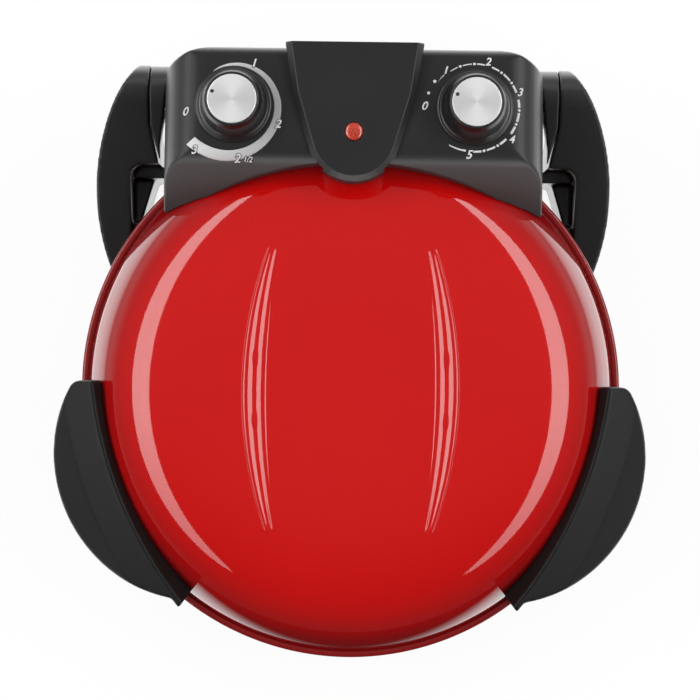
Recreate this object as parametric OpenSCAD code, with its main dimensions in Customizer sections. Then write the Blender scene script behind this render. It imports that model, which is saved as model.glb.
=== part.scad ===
// Electric pizza maker: a round countertop cooker with a hinged lid.
// Millimetres. +Z is up from the table, +Y points to the hinge at the back.
// Sub-parts are drawn about the oven's own vertical axis and then moved back
// or forward by oven_y, so that the footprint's middle is at the origin.

/* [Baking stone] */
// Diameter of the round baking stone
stone_d = 310; // [304:1:314]
// Thickness of the baking stone
stone_t = 12; // [10:0.5:13]
// How far the stone's top lies below the base rim
stone_drop = 6; // [5:0.5:8]
// Free gap around the stone
stone_gap = 2; // [1.5:0.5:3]

/* [Shells] */
// Thickness of the two red pressed shells
shell_t = 1; // [0.8:0.1:1.2]
// Thickness of the two bright liners
liner_t = 0.8; // [0.6:0.1:1]
// Air gap between liner and shell at the rim
rim_air = 5; // [4.5:0.5:6]
// Width of the flat band outside the wall at each rim
rim_band = 5.3; // [5:0.1:6]
// Radius of the rolled bead at each rim
bead_r = 1.6; // [1.4:0.1:1.8]
// Depth of the base bowl
bowl_depth = 66; // [64:1:70]
// Rise of the lid's dome above its rim
dome_rise = 52; // [50:1:56]
// Height of the bowl's underside above the table
bowl_lift = 14; // [13:1:18]

/* [Lid ribs] */
// Half the length of the embossed ribs
rib_half = 87; // [82:1:90]
// Height of the embossed ribs
rib_rise = 1; // [0.8:0.1:1.4]
// Distance of the outer rib's middle from the centre line
rib_mid = 65.5; // [64:0.5:67]
// Widest place of each rib
rib_w = 6.5; // [6:0.5:7]

/* [Heating elements] */
// Diameter of the tubular heating elements
element_d = 6.5; // [6:0.1:7]
// Radius of the lower element's ring
lower_ring_r = 100; // [95:1:105]
// Radius of the upper element's outer ring
upper_ring_r = 115; // [112:1:118]
// Radius of the upper element's inner ring
inner_ring_r = 60; // [56:1:64]

/* [Hinge] */
// Distance of the hinge axis behind the oven axis
hinge_y = 182; // [181:0.5:183]
// Height of the hinge axis above the base rim
hinge_rise = 8; // [7:0.5:9]
// Radius of the hinge barrels
barrel_r = 18.5; // [17.5:0.5:19]
// Radius of the hollow hinge pins
pin_r = 8; // [7:0.5:9]
// Bore for the wires through the hinge pins
pin_bore_r = 5; // [4:0.5:5.5]
// Distance of the joint face between arm and lid from the centre line
hinge_face_x = 127; // [126.5:0.5:128]

/* [Control housing] */
// Width of the housing over its flared sides
housing_w = 241; // [240:1:242]
// Width of the housing at its back corners
housing_back_w = 227; // [225:1:228]
// How far the housing reaches behind the hinge axis
housing_back = 24.5; // [24:0.5:26]
// Height of the control panel above the lid rim, at the knobs
panel_rise = 60; // [59:0.5:62]
// Backward tilt of the control panel
panel_tilt = 4; // [3:0.5:5]
// Wall of the moulded housing
housing_wall = 3; // [2.5:0.5:3.5]
// Height of the raised tongue panel above the control panel
tongue_rise = 5; // [4:0.5:6]

/* [Knobs] */
// Distance of each knob from the centre line
knob_x = 72.5; // [70:0.5:74]
// Distance of the knobs behind the oven axis
knob_y = 170.5; // [169:0.5:172]
// Diameter of the knob's skirt
knob_d = 46; // [42:1:47]
// Height of the knob
knob_h = 19; // [17:0.5:21]
// Diameter of the bright cap on the knob
cap_d = 29.6; // [27:0.1:30]
// Diameter of the knob shafts
shaft_d = 7; // [6:0.5:8]
// Radial running clearance of pins and shafts
run_gap = 0.05; // [0.03:0.01:0.08]

/* [Handles] */
// Reach of the handle wings from the oven axis
wing_reach = 193.3; // [191:0.1:195]
// Radius of the wing's outer edge
wing_r = 87.2; // [85:0.1:89]
// Turn of the wings towards the front
wing_turn = 24; // [23:1:26]
// Height of the lid handle's crest above its underside
crest_rise = 32; // [28:1:34]
// Wall of the moulded handles
wing_wall = 3; // [2.5:0.5:3.5]

/* [Arms and feet] */
// Width of the rear arms outside their joint faces
arm_width = 34.5; // [33.5:0.5:35.5]
// Radius of the arm's bowed outer face
arm_r = 135; // [133:0.5:138]
// Width of the gap side of each arm, from the centre line
arm_inner_x = 139.5; // [138.5:0.5:141]
// Radius of the rubber feet
foot_r = 9; // [8:0.5:10]
// Height of the rubber feet
foot_h = 8; // [6:0.5:9]
// Radius of the mains lead that the inlet bush takes
lead_r = 3.6; // [3.2:0.1:3.8]

/* [Hidden] */
$fn = 96;
seat = 0.3;                 // gap of a seated piece from what carries it
big = 400;
screw_r = 2;
screw_head_r = 3.6;
screw_head_t = 2;

stone_r = stone_d / 2;
liner_r = stone_r + stone_gap;
wall_r = liner_r + liner_t + rim_air + shell_t;
rim_r = wall_r + rim_band;
base_rim_z = bowl_lift + bowl_depth;
lid_rim_z = base_rim_z + seat;
stone_z = base_rim_z - stone_drop - stone_t;
liner_floor_z = stone_z - 22;
lid_liner_r = liner_r + 2.5;
lid_liner_rise = dome_rise - 8;
lid_liner_z = lid_rim_z + 0.4;

element_r = element_d / 2;
lower_ring_z = stone_z - 10 - element_r;
upper_ring_z = lid_liner_under(upper_ring_r + 7) - 8.9;
leg_r = element_r - 0.25;   // straight legs are a little slimmer than the rings
leg_bite = 1;               // how far a ring's end runs past its leg
lower_tail_x = 12;
lower_tail_y = wall_r + 10;
upper_leg_x = 20;           // spacing of the straight legs of the upper element
upper_tail_y = wall_r + 1;
upper_tails = [-upper_leg_x, 0];
bead_t = 5.5;
clip_turns = [-150, -30, 60];
clip_foot = 9;
upper_clip_turns = [-135, -45, 30, 150];
bead_wall = 2;

hinge_z = base_rim_z + hinge_rise;
pin_in_x = hinge_face_x - 19;
pin_out_x = hinge_face_x + 12;

housing_z = lid_rim_z + 2 * bead_r + 0.7;
housing_rear_y = hinge_y + housing_back;
housing_front_r = 207;
housing_front_y = -70;
shoulder_r = 24;
shoulder_lean = 5;
panel_z = lid_rim_z + panel_rise;
floor_t = 2;
floor_z = housing_z + 2;
tongue_rear_y = housing_rear_y + 2;
tongue_tip_y = 128.5;
nose_y = housing_front_y + housing_front_r - 5;
lens_r = 5.3;
lens_y = 154.7;
boss_r = 4;
housing_screw_x = [-98, -38, 38, 98];
housing_screw_y = hinge_y + 14;
shield_r = wall_r - 5.8;
shield_cut_y = shield_r - 18;   // where the cuts through the shield start

rib_bow = 16.3;             // how far a rib's middle stands outside its ends
rib_gap = 1.5;
wing_mid = wing_reach - wing_r;
wing_x = wing_mid * cos(wing_turn);
wing_y = -wing_mid * sin(wing_turn);
wing_end_y = 3.5;
wing_corner_r = 8;
wing_tip_turn = 52.5;       // where the lid handle's crest ends
crest_r = 259.4;            // the crest is an arc about its own centre
crest_x = -99.5;
crest_y = 31.3;
crest_foot = 18;            // how far the crest's inner face leans in
crest_lip = 3.5;
crease_r = wall_r - 2.5;
lid_wing_z = lid_rim_z + 2 * bead_r + 0.5;
lid_crest_z = lid_wing_z + crest_rise;
lid_edge_z = lid_wing_z + 9;
lid_screw_z = lid_rim_z + 8.5;
base_crease_z = base_rim_z - 17;
base_edge_z = base_crease_z - 7;
base_wing_z = base_crease_z - 22;
base_screw_z = base_crease_z - 6;
wing_screw_turns = [-12, 12];
wing_pad_r = wall_r + 2.5;

front_foot_r = 143;
rear_foot_x = arm_inner_x + 2;
arm_mid_x = hinge_face_x + arm_width - arm_r;
arm_mid_y = 119;
arm_front_y = 70;
arm_slope = 21.7;
arm_wall = 3;
arm_step_y = 139;
arm_step_r = 8;
rear_foot_y = arm_step_y + foot_r + 2;
joint_y = hinge_y - barrel_r - 0.5;   // where the joint line starts to lean inwards
web_y = 131.5;
web_t = 7;
web_top_z = base_rim_z - 8;
arm_screw_z = base_rim_z - 26;
arm_screw_turn = 47;

box_half = 62;
box_back_y = hinge_y + 3;
box_top_z = base_rim_z - 22;
box_wall = 2.5;
box_round = 10;
inlet_z = bowl_lift + 17;
inlet_x = 40;

oven_y = (rim_r - tongue_rear_y) / 2;

red = "firebrick";
black = [0.16, 0.16, 0.17];
steel = "silver";

// ---- shared forms -------------------------------------------------------

// Quarter outline of a pressed shell: from the rim at radius r to the crown at height h
function oval(r, h, n, m, steps = 22) = [
  for (i = [0:steps])
    let (t = 90 * i / steps, c = i == steps ? 0 : cos(t))
    [r * pow(c, 2 / n), h * pow(sin(t), 2 / m)]
];
function dome_curve(grow) = oval(wall_r + grow, dome_rise + grow, 4.5, 2);
function bowl_curve(grow) = oval(wall_r + grow, bowl_depth + grow, 4, 2.4);
function reversed(list) = [for (i = [len(list) - 1:-1:0]) list[i]];
// Points of a round corner
function arc(x, y, r, from, to, steps = 6) = [
  for (i = [0:steps])
    let (a = from + (to - from) * i / steps)
    [x + r * cos(a), y + r * sin(a)]
];

// Everything under the dome, grown by a gap
module dome_solid(grow = 0) {
  translate([0, 0, lid_rim_z])
    rotate_extrude()
      polygon(concat([[0, 0]], dome_curve(grow)));
}
// Everything above the bowl's outer face up to the rim, grown by a gap
module bowl_solid(grow = 0) {
  translate([0, 0, base_rim_z])
    mirror([0, 0, 1])
      rotate_extrude()
        polygon(concat([[0, 0]], bowl_curve(grow)));
}
// Upright ring
module ring(r_in, r_out, z, h) {
  translate([0, 0, z])
    difference() {
      cylinder(r = r_out, h = h);
      translate([0, 0, -1])
        cylinder(r = r_in, h = h + 2);
    }
}
// Straight rod between two points
module rod(a, b, r) {
  d = b - a;
  l = norm(d);
  translate(a)
    rotate([0, acos(d[2] / l), atan2(d[1], d[0])])
      cylinder(r = r, h = l, $fn = 32);
}
// Wire along straight stretches; each stretch is a hair slimmer than the one before
// and starts inside its end
module wire(p, r) {
  for (i = [0:len(p) - 2]) {
    d = p[i + 1] - p[i];
    past = i == len(p) - 2 ? 0 : r / norm(d);
    rod(p[i], p[i + 1] + d * past, r * (1 - 0.06 * i));
  }
}
// Cylinder along +Y
module along_y(x, y, z, r, l) {
  translate([x, y, z])
    rotate([-90, 0, 0])
      cylinder(r = r, h = l);
}
// Cylinder along +X
module along_x(x, y, z, r, l) {
  translate([x, y, z])
    rotate([0, 90, 0])
      cylinder(r = r, h = l);
}
// Cylinder pointing outwards at an angle about the oven axis
module along_radius(turn, from, z, r, l) {
  rotate([0, 0, turn])
    along_x(from, 0, z, r, l);
}
// Part of a torus about the oven axis
module bent_tube(ring_r, z, r, from, sweep) {
  translate([0, 0, z])
    rotate([0, 0, from])
      rotate_extrude(angle = sweep)
        translate([ring_r, 0])
          circle(r = r, $fn = 32);
}
function polar(r, turn, z) = [r * cos(turn), r * sin(turn), z];
module left() {
  mirror([1, 0, 0])
    children();
}
module both_sides() {
  children();
  left()
    children();
}

// ---- base ---------------------------------------------------------------

module base_shell() {
  color(red)
    difference() {
      union() {
        translate([0, 0, base_rim_z])
          mirror([0, 0, 1])
            rotate_extrude()
              polygon(concat(bowl_curve(0), reversed(bowl_curve(-shell_t))));
        ring(wall_r - shell_t, rim_r - bead_r, base_rim_z - shell_t, shell_t);
        translate([0, 0, base_rim_z - bead_r])
          rotate_extrude()
            translate([rim_r - bead_r, 0])
              circle(r = bead_r, $fn = 32);
      }
      for (s = [-1, 1])
        along_y(s * lower_tail_x, wall_r - 30, lower_ring_z, element_r + 1.2, 40);
      both_sides()
        for (t = wing_screw_turns)
          along_radius(t - wing_turn, wall_r - 20, base_screw_z, screw_r + 0.3, 40);
      both_sides()
        along_radius(arm_screw_turn, wall_r - 20, arm_screw_z, screw_r + 0.3, 40);
    }
}

module base_liner() {
  ledge_r = stone_r - 8;
  slope_r = ledge_r - 12;
  color(steel)
    difference() {
      rotate_extrude()
        polygon([
          [0, liner_floor_z], [slope_r, liner_floor_z],
          [ledge_r, stone_z - seat - liner_t], [liner_r + liner_t, stone_z - seat - liner_t],
          [liner_r + liner_t, base_rim_z - liner_t],
          [wall_r - shell_t - seat, base_rim_z - liner_t],
          [wall_r - shell_t - seat, base_rim_z], [liner_r, base_rim_z],
          [liner_r, stone_z - seat], [ledge_r - 0.5, stone_z - seat],
          [slope_r - 0.5, liner_floor_z + liner_t], [0, liner_floor_z + liner_t]
        ]);
      for (s = [-1, 1])
        along_y(s * lower_tail_x, slope_r - 10, lower_ring_z, element_r + 0.4, 60);
      for (t = clip_turns)
        translate(polar(lower_ring_r + clip_foot, t, liner_floor_z - 5))
          cylinder(r = screw_r / 2 + 0.2, h = 12);
    }
}

// Height on a ring of radius r at the distance x from the middle
function on_ring(r, x) = sqrt(r * r - x * x);
module lower_element() {
  b = asin((lower_tail_x - leg_bite) / lower_ring_r);
  color("dimgray") {
    bent_tube(lower_ring_r, lower_ring_z, element_r, 90 + b, 360 - 2 * b);
    for (x = [-lower_tail_x, lower_tail_x])
      rod([x, on_ring(lower_ring_r, x), lower_ring_z], [x, lower_tail_y, lower_ring_z], leg_r);
  }
}

// Sheet clip that straddles the element and stands on the liner's floor
module lower_clip() {
  z0 = liner_floor_z + liner_t;
  z1 = lower_ring_z - element_r - seat;
  translate([lower_ring_r - 5, -6, z1 - 1])
    cube([10, 12, 1]);
  translate([lower_ring_r + 4, -6, z0])
    cube([1, 12, z1 - z0]);
  translate([lower_ring_r + 4, -6, z0])
    cube([clip_foot + 1, 12, 1]);
  for (s = [-1, 1])
    translate([lower_ring_r + s * (element_r + seat + 0.5) - 0.5, -6, z1 - 1])
      cube([1, 12, element_r + 1.5]);
  translate([lower_ring_r + clip_foot, 0, z0 - 2])
    cylinder(r = screw_r / 2, h = 4);
}
module lower_element_clips() {
  color(steel)
    for (t = clip_turns)
      rotate([0, 0, t])
        lower_clip();
}

// Ceramic bead round an element's tail
module ceramic_bead(x, y, z) {
  difference() {
    along_y(x, y, z, leg_r + bead_wall, bead_t);
    along_y(x, y - 1, z, leg_r + run_gap, bead_t + 2);
  }
}
module lower_insulators() {
  color("ivory")
    for (s = [-1, 1])
      ceramic_bead(s * lower_tail_x, wall_r, lower_ring_z);
}

// Plan of the junction box, drawn from the bowl to the back
module box_plan(inset = 0) {
  w = box_half - inset;
  y = box_back_y - inset;
  polygon(concat(
    [[-w, 100], [w, 100]],
    arc(w - box_round, y - box_round, box_round, 0, 90),
    arc(-w + box_round, y - box_round, box_round, 90, 180)));
}
module junction_box() {
  top = box_top_z;
  color(black)
    difference() {
      translate([0, 0, bowl_lift])
        linear_extrude(top - bowl_lift)
          box_plan();
      translate([0, 0, bowl_lift - 1])
        linear_extrude(top - bowl_lift + 1 - box_wall)
          box_plan(box_wall);
      bowl_solid(seat);
      along_y(inlet_x, box_back_y - 10, inlet_z, lead_r + 3, 20);
    }
  color(black)
    for (s = [-1, 1])
      translate([s * (box_half - 8), box_back_y - 8, bowl_lift + 2.4])
        difference() {
          cylinder(r = boss_r, h = top - bowl_lift - 4);
          translate([0, 0, -1])
            cylinder(r = screw_r - 0.3, h = 14);
        }
}
module junction_cover() {
  color(black)
    difference() {
      translate([0, 0, bowl_lift])
        linear_extrude(2)
          box_plan(box_wall + seat);
      bowl_solid(seat + 2);
      for (s = [-1, 1])
        translate([s * (box_half - 8), box_back_y - 8, bowl_lift - 1])
          cylinder(r = screw_r - 0.3, h = 6);
    }
}
module cover_screws() {
  color(steel)
    for (s = [-1, 1])
      translate([s * (box_half - 8), box_back_y - 8, bowl_lift - screw_head_t]) {
        cylinder(r = screw_head_r, h = screw_head_t);
        cylinder(r = screw_r - 0.35, h = screw_head_t + 12);
      }
}
module base_terminal_block() {
  color("ivory")
    difference() {
      translate([-16, box_back_y - 18, bowl_lift + 2.3])
        cube([32, 12, 14]);
      for (i = [-1:1])
        translate([i * 9.5, box_back_y - 12, bowl_lift + 8])
          cylinder(r = 2.4, h = 12);
    }
}
module cord_bush() {
  color(black)
    difference() {
      union() {
        along_y(inlet_x, box_back_y - box_wall - 3, inlet_z, lead_r + 2.9, box_wall + 5);
        along_y(inlet_x, box_back_y + seat, inlet_z, lead_r + 5, 2.5);
        along_y(inlet_x, box_back_y - box_wall - 3, inlet_z, lead_r + 4.5, 3 - seat);
      }
      along_y(inlet_x, box_back_y - 30, inlet_z, lead_r, 60);
    }
}
module base_wiring() {
  y = box_back_y - 12;
  wire_r = 1.2;
  color("white")
    for (s = [-1, 1])
      wire([
        [s * lower_tail_x, lower_tail_y - 2, lower_ring_z - leg_r - wire_r],
        [s * lower_tail_x, y, lower_ring_z - leg_r - wire_r],
        [s * 9.5, y, lower_ring_z - leg_r - wire_r],
        [s * 9.5, y, bowl_lift + 10]
      ], wire_r);
}

// Side view of an arm: leg, sloping top and hinge barrel; the inset is the wall
module arm_side(inset = 0) {
  r = barrel_r - inset;
  top = [hinge_y - r * sin(arm_slope), hinge_z + r * cos(arm_slope)];
  front_z = top[1] - (top[0] - arm_front_y - inset) * tan(arm_slope);
  translate([hinge_y, hinge_z])
    circle(r = r);
  polygon([
    [arm_front_y + inset, front_z], [arm_front_y + inset, base_rim_z - 42 + inset],
    [116, base_rim_z - 56 + inset], [130 + inset, foot_h - inset],
    [176 - inset, foot_h - inset], [188 - inset, foot_h + 26],
    [hinge_y + r * cos(9), hinge_z - r * sin(9)], [hinge_y, hinge_z], top
  ]);
}
// Plan of the right arm
module arm_plan(inset = 0) {
  intersection() {
    translate([arm_mid_x, arm_mid_y])
      circle(r = arm_r - inset, $fn = 180);
    union() {
      translate([arm_inner_x + inset, 0])
        square([big, big]);
      polygon([
        [hinge_face_x + inset, big], [hinge_face_x + inset, joint_y],
        [housing_w / 2 + 1.2 + inset, arm_step_y + inset], [big, arm_step_y + inset], [big, big]
      ]);
      // round corner between the step and the arm's gap side
      translate([arm_inner_x - arm_step_r, arm_step_y - arm_step_r])
        difference() {
          square(arm_step_r + inset + 1);
          circle(r = arm_step_r + inset);
        }
    }
  }
}
module arm_form(inset = 0) {
  intersection() {
    translate([0, 0, -1])
      linear_extrude(hinge_z + barrel_r + 5)
        arm_plan(inset);
    rotate([90, 0, 90])
      linear_extrude(200)
        arm_side(inset);
  }
}
// Low web and ledge that tie the arm to the bowl
module arm_web() {
  translate([0, 0, bowl_lift + 8])
    linear_extrude(web_top_z - bowl_lift - 8)
      polygon([[100, web_y], [arm_inner_x + 3, web_y], [arm_inner_x + 3, web_y + web_t],
        [100, web_y + web_t]]);
  translate([0, 0, bowl_lift + 12])
    linear_extrude(web_top_z - bowl_lift - 22)
      polygon([[126, web_y + 2], [arm_inner_x + 4, web_y + 2], [arm_inner_x + 4, 88],
        [arm_inner_x - 1, 92]]);
  translate([0, 0, base_rim_z - 40])
    linear_extrude(30)
      polygon([[118, 80], [arm_inner_x + 4, 74], [arm_inner_x + 4, 102], [118, 110]]);
}
module arm() {
  difference() {
    union() {
      difference() {
        arm_form();
        difference() {
          arm_form(arm_wall);
          along_x(100, hinge_y, hinge_z, pin_r + 4, 60);
          translate([rear_foot_x, rear_foot_y, 0])
            cylinder(r = foot_r + 3, h = foot_h + 8);
        }
      }
      arm_web();
    }
    bowl_solid(seat);
    ring(wall_r - 20, rim_r + seat, base_rim_z - 2 * bead_r - seat, 30);
    along_x(100, hinge_y, hinge_z, pin_r + run_gap, pin_out_x - 100 + 0.5);
    translate([rear_foot_x, rear_foot_y, foot_h - 1])
      cylinder(r = 3.1, h = 7);
    along_radius(arm_screw_turn, wall_r - 20, arm_screw_z, screw_r + run_gap, 34);
  }
}
module arm_left() {
  color(black)
    left()
      arm();
}
module arm_right() {
  color(black)
    arm();
}
module radial_screw(turn, head_r0, z, l) {
  along_radius(turn, head_r0 + screw_head_t - 0.2, z, screw_r, l);
  along_radius(turn, head_r0, z, screw_head_r, screw_head_t);
}
// Radius of the bowl's or dome's outer face at a height
function bowl_face(z) = wall_r * pow(1 - pow((base_rim_z - z) / bowl_depth, 2.4), 1 / 4);
function dome_face(z) = wall_r * pow(1 - pow((z - lid_rim_z) / dome_rise, 2), 1 / 4.5);

module arm_screws() {
  head = bowl_face(arm_screw_z - screw_head_r) - shell_t - screw_head_t - seat - 0.3;
  color(steel)
    both_sides()
      radial_screw(arm_screw_turn, head, arm_screw_z, 13);
}
module hinge_pin() {
  difference() {
    along_x(pin_in_x, hinge_y, hinge_z, pin_r, pin_out_x - pin_in_x);
    along_x(pin_in_x - 1, hinge_y, hinge_z, pin_bore_r, pin_out_x - pin_in_x + 2);
  }
}
module hinge_pin_left() {
  color(steel)
    left()
      hinge_pin();
}
module hinge_pin_right() {
  color(steel)
    hinge_pin();
}

// ---- handles ------------------------------------------------------------

// Plan of the right wing, with a round corner at its rear end
module wing_plan(inset = 0) {
  y = wing_end_y - wing_corner_r;
  dx = sqrt(pow(wing_r - wing_corner_r, 2) - pow(y - wing_y, 2));
  a = atan2(y - wing_y, dx);
  difference() {
    intersection() {
      translate([wing_x, wing_y])
        circle(r = wing_r - inset, $fn = 180);
      translate([0, wing_end_y - inset - big])
        square([big, big]);
    }
    translate([wing_x + dx, y])
      difference() {
        polygon([[0, 0], [0, 30], [30, 30], [30 * cos(a), 30 * sin(a)]]);
        circle(r = wing_corner_r - inset);
      }
  }
}
// Everything behind the radial end of the lid handle
module before_tip(inset = 0) {
  rotate(-wing_tip_turn)
    translate([0, inset])
      square([big, big]);
}
// Strip along the crest, a little longer than the wing
module crest_strip() {
  intersection() {
    translate([crest_x, crest_y])
      difference() {
        circle(r = crest_r + crest_lip, $fn = 360);
        circle(r = crest_r - crest_foot, $fn = 360);
      }
    translate([0, wing_y - big])
      square([big, big]);
  }
}
// Lid wing under its crest: a steep inner face and a long slope to the outer edge
module crest_form(inset = 0) {
  top = lid_crest_z - inset;
  intersection() {
    translate([0, 0, lid_wing_z - inset])
      linear_extrude(crest_rise + 1)
        intersection() {
          before_tip(inset);
          union() {
            wing_plan(inset);
            if (inset == 0)
              crest_strip();
          }
        }
    translate([crest_x, crest_y])
      rotate_extrude($fn = 360)
        polygon([
          [crest_r - crest_foot, lid_wing_z - inset - 1], [crest_r - 1, top - 1],
          [crest_r, top], [crest_r + 1.2, top], [crest_r + 20, top - 8.5],
          [crest_r + 42, lid_edge_z - inset], [crest_r + 42, lid_wing_z - inset - 1]
        ]);
  }
}
// Base wing with a sloping top: highest at the crease, lower at the outer edge
module wing_form(low, crease_z, edge_z, inset = 0, drop = 0) {
  intersection() {
    translate([0, 0, low - drop])
      linear_extrude(crease_z - low + 1)
        wing_plan(inset);
    rotate_extrude($fn = 180)
      polygon([
        [100, low - drop - 1], [wing_reach + 3, low - drop - 1],
        [wing_reach + 3, edge_z - drop],
        [(wing_reach + crease_r) / 2, (crease_z + edge_z) / 2 + 2 - drop],
        [crease_r, crease_z - drop], [100, crease_z - drop]
      ]);
  }
}
module lid_handle() {
  difference() {
    crest_form();
    difference() {
      crest_form(wing_wall);
      ring(0, wing_pad_r, lid_wing_z - 10, 60);
      for (t = wing_screw_turns)
        along_radius(t - wing_turn, wall_r - 10, lid_screw_z, boss_r + 0.6, 20);
    }
    dome_solid(seat);
    for (t = wing_screw_turns)
      along_radius(t - wing_turn, wall_r - 10, lid_screw_z, screw_r + run_gap, 19);
  }
}
// Leg that narrows from the handle down to its foot
module handle_leg() {
  h = base_wing_z + 8 - foot_h;
  rotate([0, 0, -wing_turn])
    intersection() {
      translate([0, 0, foot_h])
        rotate([90, 0, 90])
          linear_extrude(wall_r + 1)
            polygon([[-13, 0], [13, 0], [22, 8], [38, h], [-38, h], [-22, 8]]);
      rotate([90, 0, 0])
        translate([0, 0, -50])
          linear_extrude(100)
            polygon([
              [front_foot_r - foot_r - 3, foot_h], [front_foot_r + foot_r + 2, foot_h],
              [wall_r - 2, foot_h + h], [front_foot_r - 30, foot_h + h],
              [front_foot_r - 30, foot_h + 12]
            ]);
    }
}
module base_handle() {
  difference() {
    union() {
      difference() {
        wing_form(base_wing_z, base_crease_z, base_edge_z);
        difference() {
          wing_form(base_wing_z, base_crease_z, base_edge_z, wing_wall, wing_wall);
          ring(0, wing_pad_r, base_wing_z - 10, 60);
          for (t = wing_screw_turns)
            along_radius(t - wing_turn, wall_r - 10, base_screw_z, boss_r + 0.6, 20);
        }
      }
      handle_leg();
    }
    bowl_solid(seat);
    for (t = wing_screw_turns)
      along_radius(t - wing_turn, wall_r - 20, base_screw_z, screw_r + run_gap, 29);
    translate(polar(front_foot_r, -wing_turn, foot_h - 1))
      cylinder(r = 3.1, h = 7);
  }
}
module base_handle_left() {
  color(black)
    left()
      base_handle();
}
module base_handle_right() {
  color(black)
    base_handle();
}
module base_handle_screws() {
  head = bowl_face(base_screw_z - screw_head_r) - shell_t - screw_head_t - seat;
  color(steel)
    both_sides()
      for (t = wing_screw_turns)
        radial_screw(t - wing_turn, head, base_screw_z, 14);
}
module lid_handle_left() {
  color(black)
    left()
      lid_handle();
}
module lid_handle_right() {
  color(black)
    lid_handle();
}
module lid_handle_screws() {
  head = dome_face(lid_screw_z + screw_head_r) - shell_t - screw_head_t - seat;
  color(steel)
    both_sides()
      for (t = wing_screw_turns)
        radial_screw(t - wing_turn, head, lid_screw_z, 12);
}

module foot() {
  rotate_extrude()
    polygon([[0, 0], [foot_r - 2, 0], [foot_r - 1, 1], [foot_r, foot_h - 1], [foot_r, foot_h],
      [3, foot_h], [3, foot_h + 5], [0, foot_h + 5]]);
}
module feet() {
  color([0.1, 0.1, 0.1])
    both_sides() {
      translate(polar(front_foot_r, -wing_turn, 0))
        foot();
      translate([rear_foot_x, rear_foot_y, 0])
        foot();
    }
}
// Blank plate on the junction box's back
module rating_plate() {
  color(steel)
    translate([-30, box_back_y, bowl_lift + 7])
      cube([50, 0.6, 18]);
}

module pizza_stone() {
  bevel = 1.5;
  color("burlywood")
    translate([0, 0, stone_z])
      rotate_extrude()
        polygon([[0, 0], [stone_r - bevel, 0], [stone_r, bevel], [stone_r, stone_t - bevel],
          [stone_r - bevel, stone_t], [0, stone_t]]);
}

// ---- lid ----------------------------------------------------------------

// Lens-shaped rib bowed outwards on the left, between two arcs through the same ends
module rib_plan(end_x, mid_x, w) {
  s1 = mid_x - end_x;
  s2 = s1 - w;
  r1 = (rib_half * rib_half + s1 * s1) / (2 * s1);
  r2 = (rib_half * rib_half + s2 * s2) / (2 * s2);
  difference() {
    translate([r1 - mid_x, 0])
      circle(r = r1, $fn = 360);
    translate([r2 - mid_x + w, 0])
      circle(r = r2, $fn = 720);
  }
}
module ribs() {
  intersection() {
    translate([0, 0, lid_rim_z])
      rotate_extrude()
        polygon(concat(dome_curve(rib_rise), reversed(dome_curve(-shell_t / 2))));
    translate([0, 0, lid_rim_z])
      linear_extrude(dome_rise + 5)
        both_sides() {
          rib_plan(rib_mid - rib_bow, rib_mid, rib_w);
          rib_plan(rib_mid - rib_bow - 4.4, rib_mid - rib_w - rib_gap, rib_w);
        }
  }
}
module lid_shell() {
  color(red)
    difference() {
      union() {
        translate([0, 0, lid_rim_z])
          rotate_extrude()
            polygon(concat(dome_curve(0), reversed(dome_curve(-shell_t))));
        ring(wall_r - shell_t, rim_r - bead_r, lid_rim_z, shell_t);
        translate([0, 0, lid_rim_z + bead_r])
          rotate_extrude()
            translate([rim_r - bead_r, 0])
              circle(r = bead_r, $fn = 32);
        ribs();
      }
      for (x = upper_tails)
        along_y(x, wall_r - 40, upper_ring_z, element_r + 1.2, 60);
      both_sides()
        for (t = wing_screw_turns)
          along_radius(t - wing_turn, wall_r - 20, lid_screw_z, screw_r + 0.3, 40);
    }
}
module lid_liner() {
  color(steel)
    difference() {
      union() {
        translate([0, 0, lid_liner_z])
          rotate_extrude()
            polygon(concat(
              oval(lid_liner_r, lid_liner_rise, 6, 2),
              reversed(oval(lid_liner_r - liner_t, lid_liner_rise - liner_t, 6, 2))));
        ring(lid_liner_r - liner_t, wall_r - shell_t - seat, lid_liner_z, liner_t);
      }
      for (x = upper_tails)
        along_y(x, wall_r - 40, upper_ring_z, element_r + 0.4, 60);
      // the heads of the handle screws show through the liner
      both_sides()
        for (t = wing_screw_turns)
          along_radius(t - wing_turn, wall_r - 20, lid_screw_z, screw_head_r + 0.5, 30);
      for (t = upper_clip_turns)
        translate(polar(upper_ring_r, t, lid_rim_z + 10))
          cylinder(r = screw_r / 2 + 0.2, h = dome_rise);
    }
}
function lid_liner_under(r) =
  lid_liner_z + (lid_liner_rise - liner_t) * sqrt(1 - pow(r / (lid_liner_r - liner_t), 6));

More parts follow.
